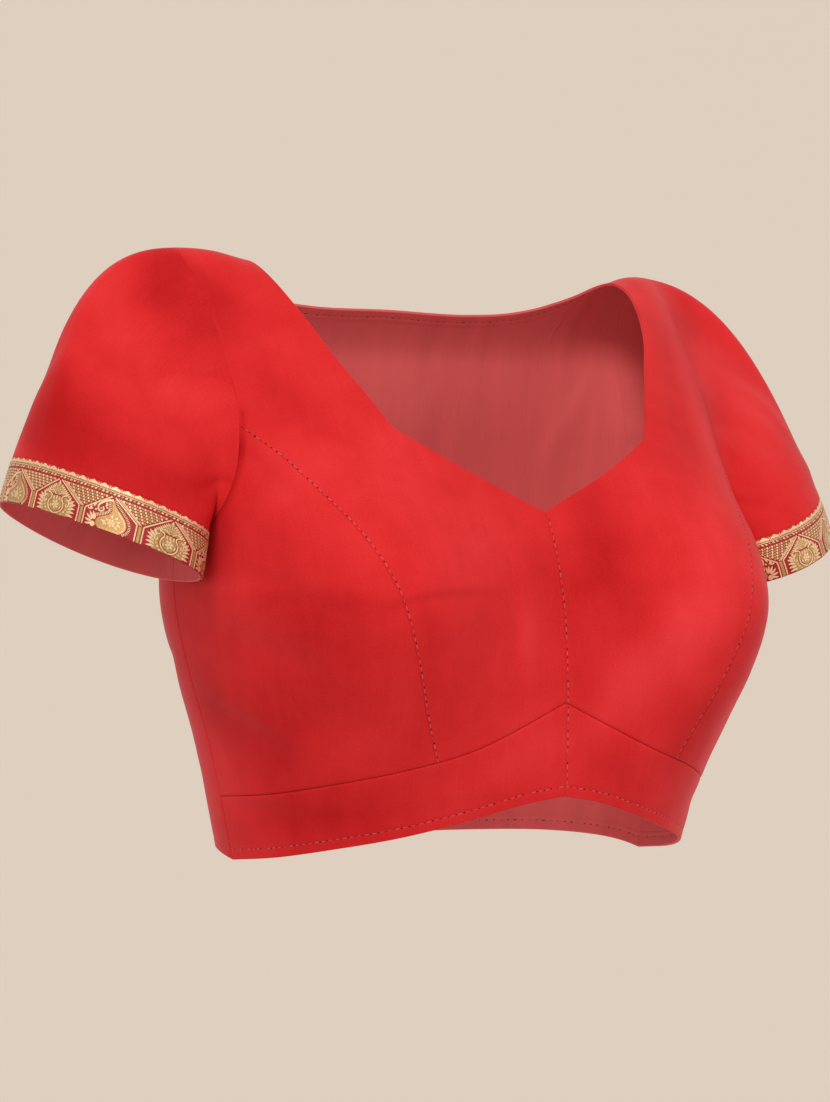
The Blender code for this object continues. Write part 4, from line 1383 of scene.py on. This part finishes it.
class BLOUSE_OT_borders(bpy.types.Operator):
    """Make the sleeve borders and weave their gold bushes and mangoes"""
    bl_idname = "blouse.borders"
    bl_label = "Sleeve borders"

    def execute(self, context):
        sizes = context.scene.blouse_sizes
        make_materials()
        repeat = raised(border_repeat(), sizes.relief)
        for side, right in SIDES:
            panel = panel_of("sleeve_border", right)
            motifs = wrap_motifs(f"zari_motifs{side}", panel, repeat, sizes.border_repeats, right, ZARI_GOLD)
            sew("sleeve_border", side, placed(panel, right), ZARI_GROUND)
        return {"FINISHED"}


class BLOUSE_OT_stitching(bpy.types.Operator):
    """Sew the seams and hems with the stitches that show"""
    bl_idname = "blouse.stitching"
    bl_label = "Stitching"

    def execute(self, context):
        sizes = context.scene.blouse_sizes
        make_materials()
        outside, inside = stitch_lines()
        pitch, length, width = sizes.stitch_pitch, sizes.stitch_length, sizes.thread
        dash = one_grain(length, width, width * STITCH_HEIGHT)
        hole = one_grain((pitch - length) * HOLE_LENGTH, width * HOLE_WIDTH, width * HOLE_HEIGHT)
        short = one_grain(length * BOBBIN_LENGTH, width * BOBBIN_WIDTH, width)
        sew_lines("stitches_right_side", outside, pitch,
                  ((dash, "top_thread", 0.0, STITCH_SUNK), (hole, "needle_hole", 0.5, HOLE_SUNK)))
        sew_lines("stitches_wrong_side", inside, pitch, ((short, "bobbin_thread", 0.0, STITCH_SUNK),))
        return {"FINISHED"}


# The studio

BOWL_RADIUS = 6.0
FLOOR_HEIGHT = -2.2
VIEW_TURN = math.radians(-30)
VIEW_DISTANCE = 2.0
VIEW_ASIDE = 0.016
VIEW_HEIGHT = -0.224
FOCAL_PIXELS = 3500
PHOTO_HEIGHT = 1102
HORIZON_ROW = 662
SENSOR = 36.0
SKY_LIGHT = 0.72
AIM = (0.0, 0.0, -0.17)
LIGHTS = (("key_light", (-1.9, -2.0, 2.3), 1.2, 60.0), ("fill_light", (2.2, -1.6, 0.6), 2.0, 12.0))


class BLOUSE_OT_studio(bpy.types.Operator):
    """Set up the backdrop, the lights and the camera at the photograph's view"""
    bl_idname = "blouse.studio"
    bl_label = "Studio"

    def execute(self, context):
        scene = context.scene
        make_materials()
        bpy.ops.mesh.primitive_uv_sphere_add(segments=96, ring_count=48, radius=BOWL_RADIUS)
        bowl = bpy.context.active_object
        bowl.name = "backdrop"
        for vertex in bowl.data.vertices:
            vertex.co.z = max(vertex.co.z, FLOOR_HEIGHT)
        bowl.data.flip_normals()
        bowl.data.shade_smooth()
        bowl.data.materials.append(bpy.data.materials["backdrop_paper"])
        bowl.visible_diffuse = bowl.visible_glossy = bowl.visible_shadow = False

        scene.world = bpy.data.worlds.new("studio")
        scene.world.use_nodes = True
        colour, strength = scene.world.node_tree.nodes["Background"].inputs[:2]
        colour.default_value, strength.default_value = linear("#FFFFFF"), SKY_LIGHT
        for name, place, width, power in LIGHTS:
            data = bpy.data.lights.new(name, "AREA")
            data.size, data.energy = width, power
            light = bpy.data.objects.new(name, data)
            light.location = place
            light.rotation_euler = (Vector(AIM) - light.location).to_track_quat("-Z", "Y").to_euler()
            scene.collection.objects.link(light)

        data = bpy.data.cameras.new("photo_view")
        data.sensor_fit = "VERTICAL"
        data.sensor_height = SENSOR
        data.lens = FOCAL_PIXELS * SENSOR / PHOTO_HEIGHT
        camera = bpy.data.objects.new("photo_view", data)
        back = Vector((math.sin(VIEW_TURN), -math.cos(VIEW_TURN), 0))
        right = Vector((math.cos(VIEW_TURN), math.sin(VIEW_TURN), 0))
        camera.location = back * VIEW_DISTANCE - right * VIEW_ASIDE + Vector((0, 0, VIEW_HEIGHT))
        pitch = math.atan((HORIZON_ROW - PHOTO_HEIGHT / 2) / FOCAL_PIXELS)
        camera.rotation_euler = (math.pi / 2 + pitch, 0, VIEW_TURN)
        scene.collection.objects.link(camera)
        scene.camera = camera
        scene.view_settings.view_transform = "Standard"
        return {"FINISHED"}


class BLOUSE_PT_panel(bpy.types.Panel):
    """The blouse's sizes, colours and steps"""
    bl_idname = "BLOUSE_PT_panel"
    bl_label = "Saree Blouse"
    bl_space_type = "VIEW_3D"
    bl_region_type = "UI"
    bl_category = "Blouse"

    def draw(self, context):
        layout = self.layout
        for group in (context.scene.blouse_sizes, context.scene.blouse_colours):
            for name in group.__annotations__:
                layout.prop(group, name)
        for operator in OPERATORS:
            layout.operator(operator.bl_idname)


OPERATORS = (BLOUSE_OT_back, BLOUSE_OT_fronts, BLOUSE_OT_waistband, BLOUSE_OT_sleeves, BLOUSE_OT_borders,
             BLOUSE_OT_stitching, BLOUSE_OT_studio)
CLASSES = (BlouseSizes, BlouseColours, *OPERATORS, BLOUSE_PT_panel)


def register():
    for part in CLASSES:
        bpy.utils.register_class(part)
    bpy.types.Scene.blouse_sizes = bpy.props.PointerProperty(type=BlouseSizes)
    bpy.types.Scene.blouse_colours = bpy.props.PointerProperty(type=BlouseColours)


def unregister():
    del bpy.types.Scene.blouse_colours
    del bpy.types.Scene.blouse_sizes
    for part in reversed(CLASSES):
        bpy.utils.unregister_class(part)


def main():
    register()
    bpy.ops.blouse.back()
    bpy.ops.blouse.fronts()
    bpy.ops.blouse.waistband()
    bpy.ops.blouse.sleeves()
    bpy.ops.blouse.borders()
    bpy.ops.blouse.stitching()
    bpy.ops.blouse.studio()


if __name__ == "__main__":
    main()
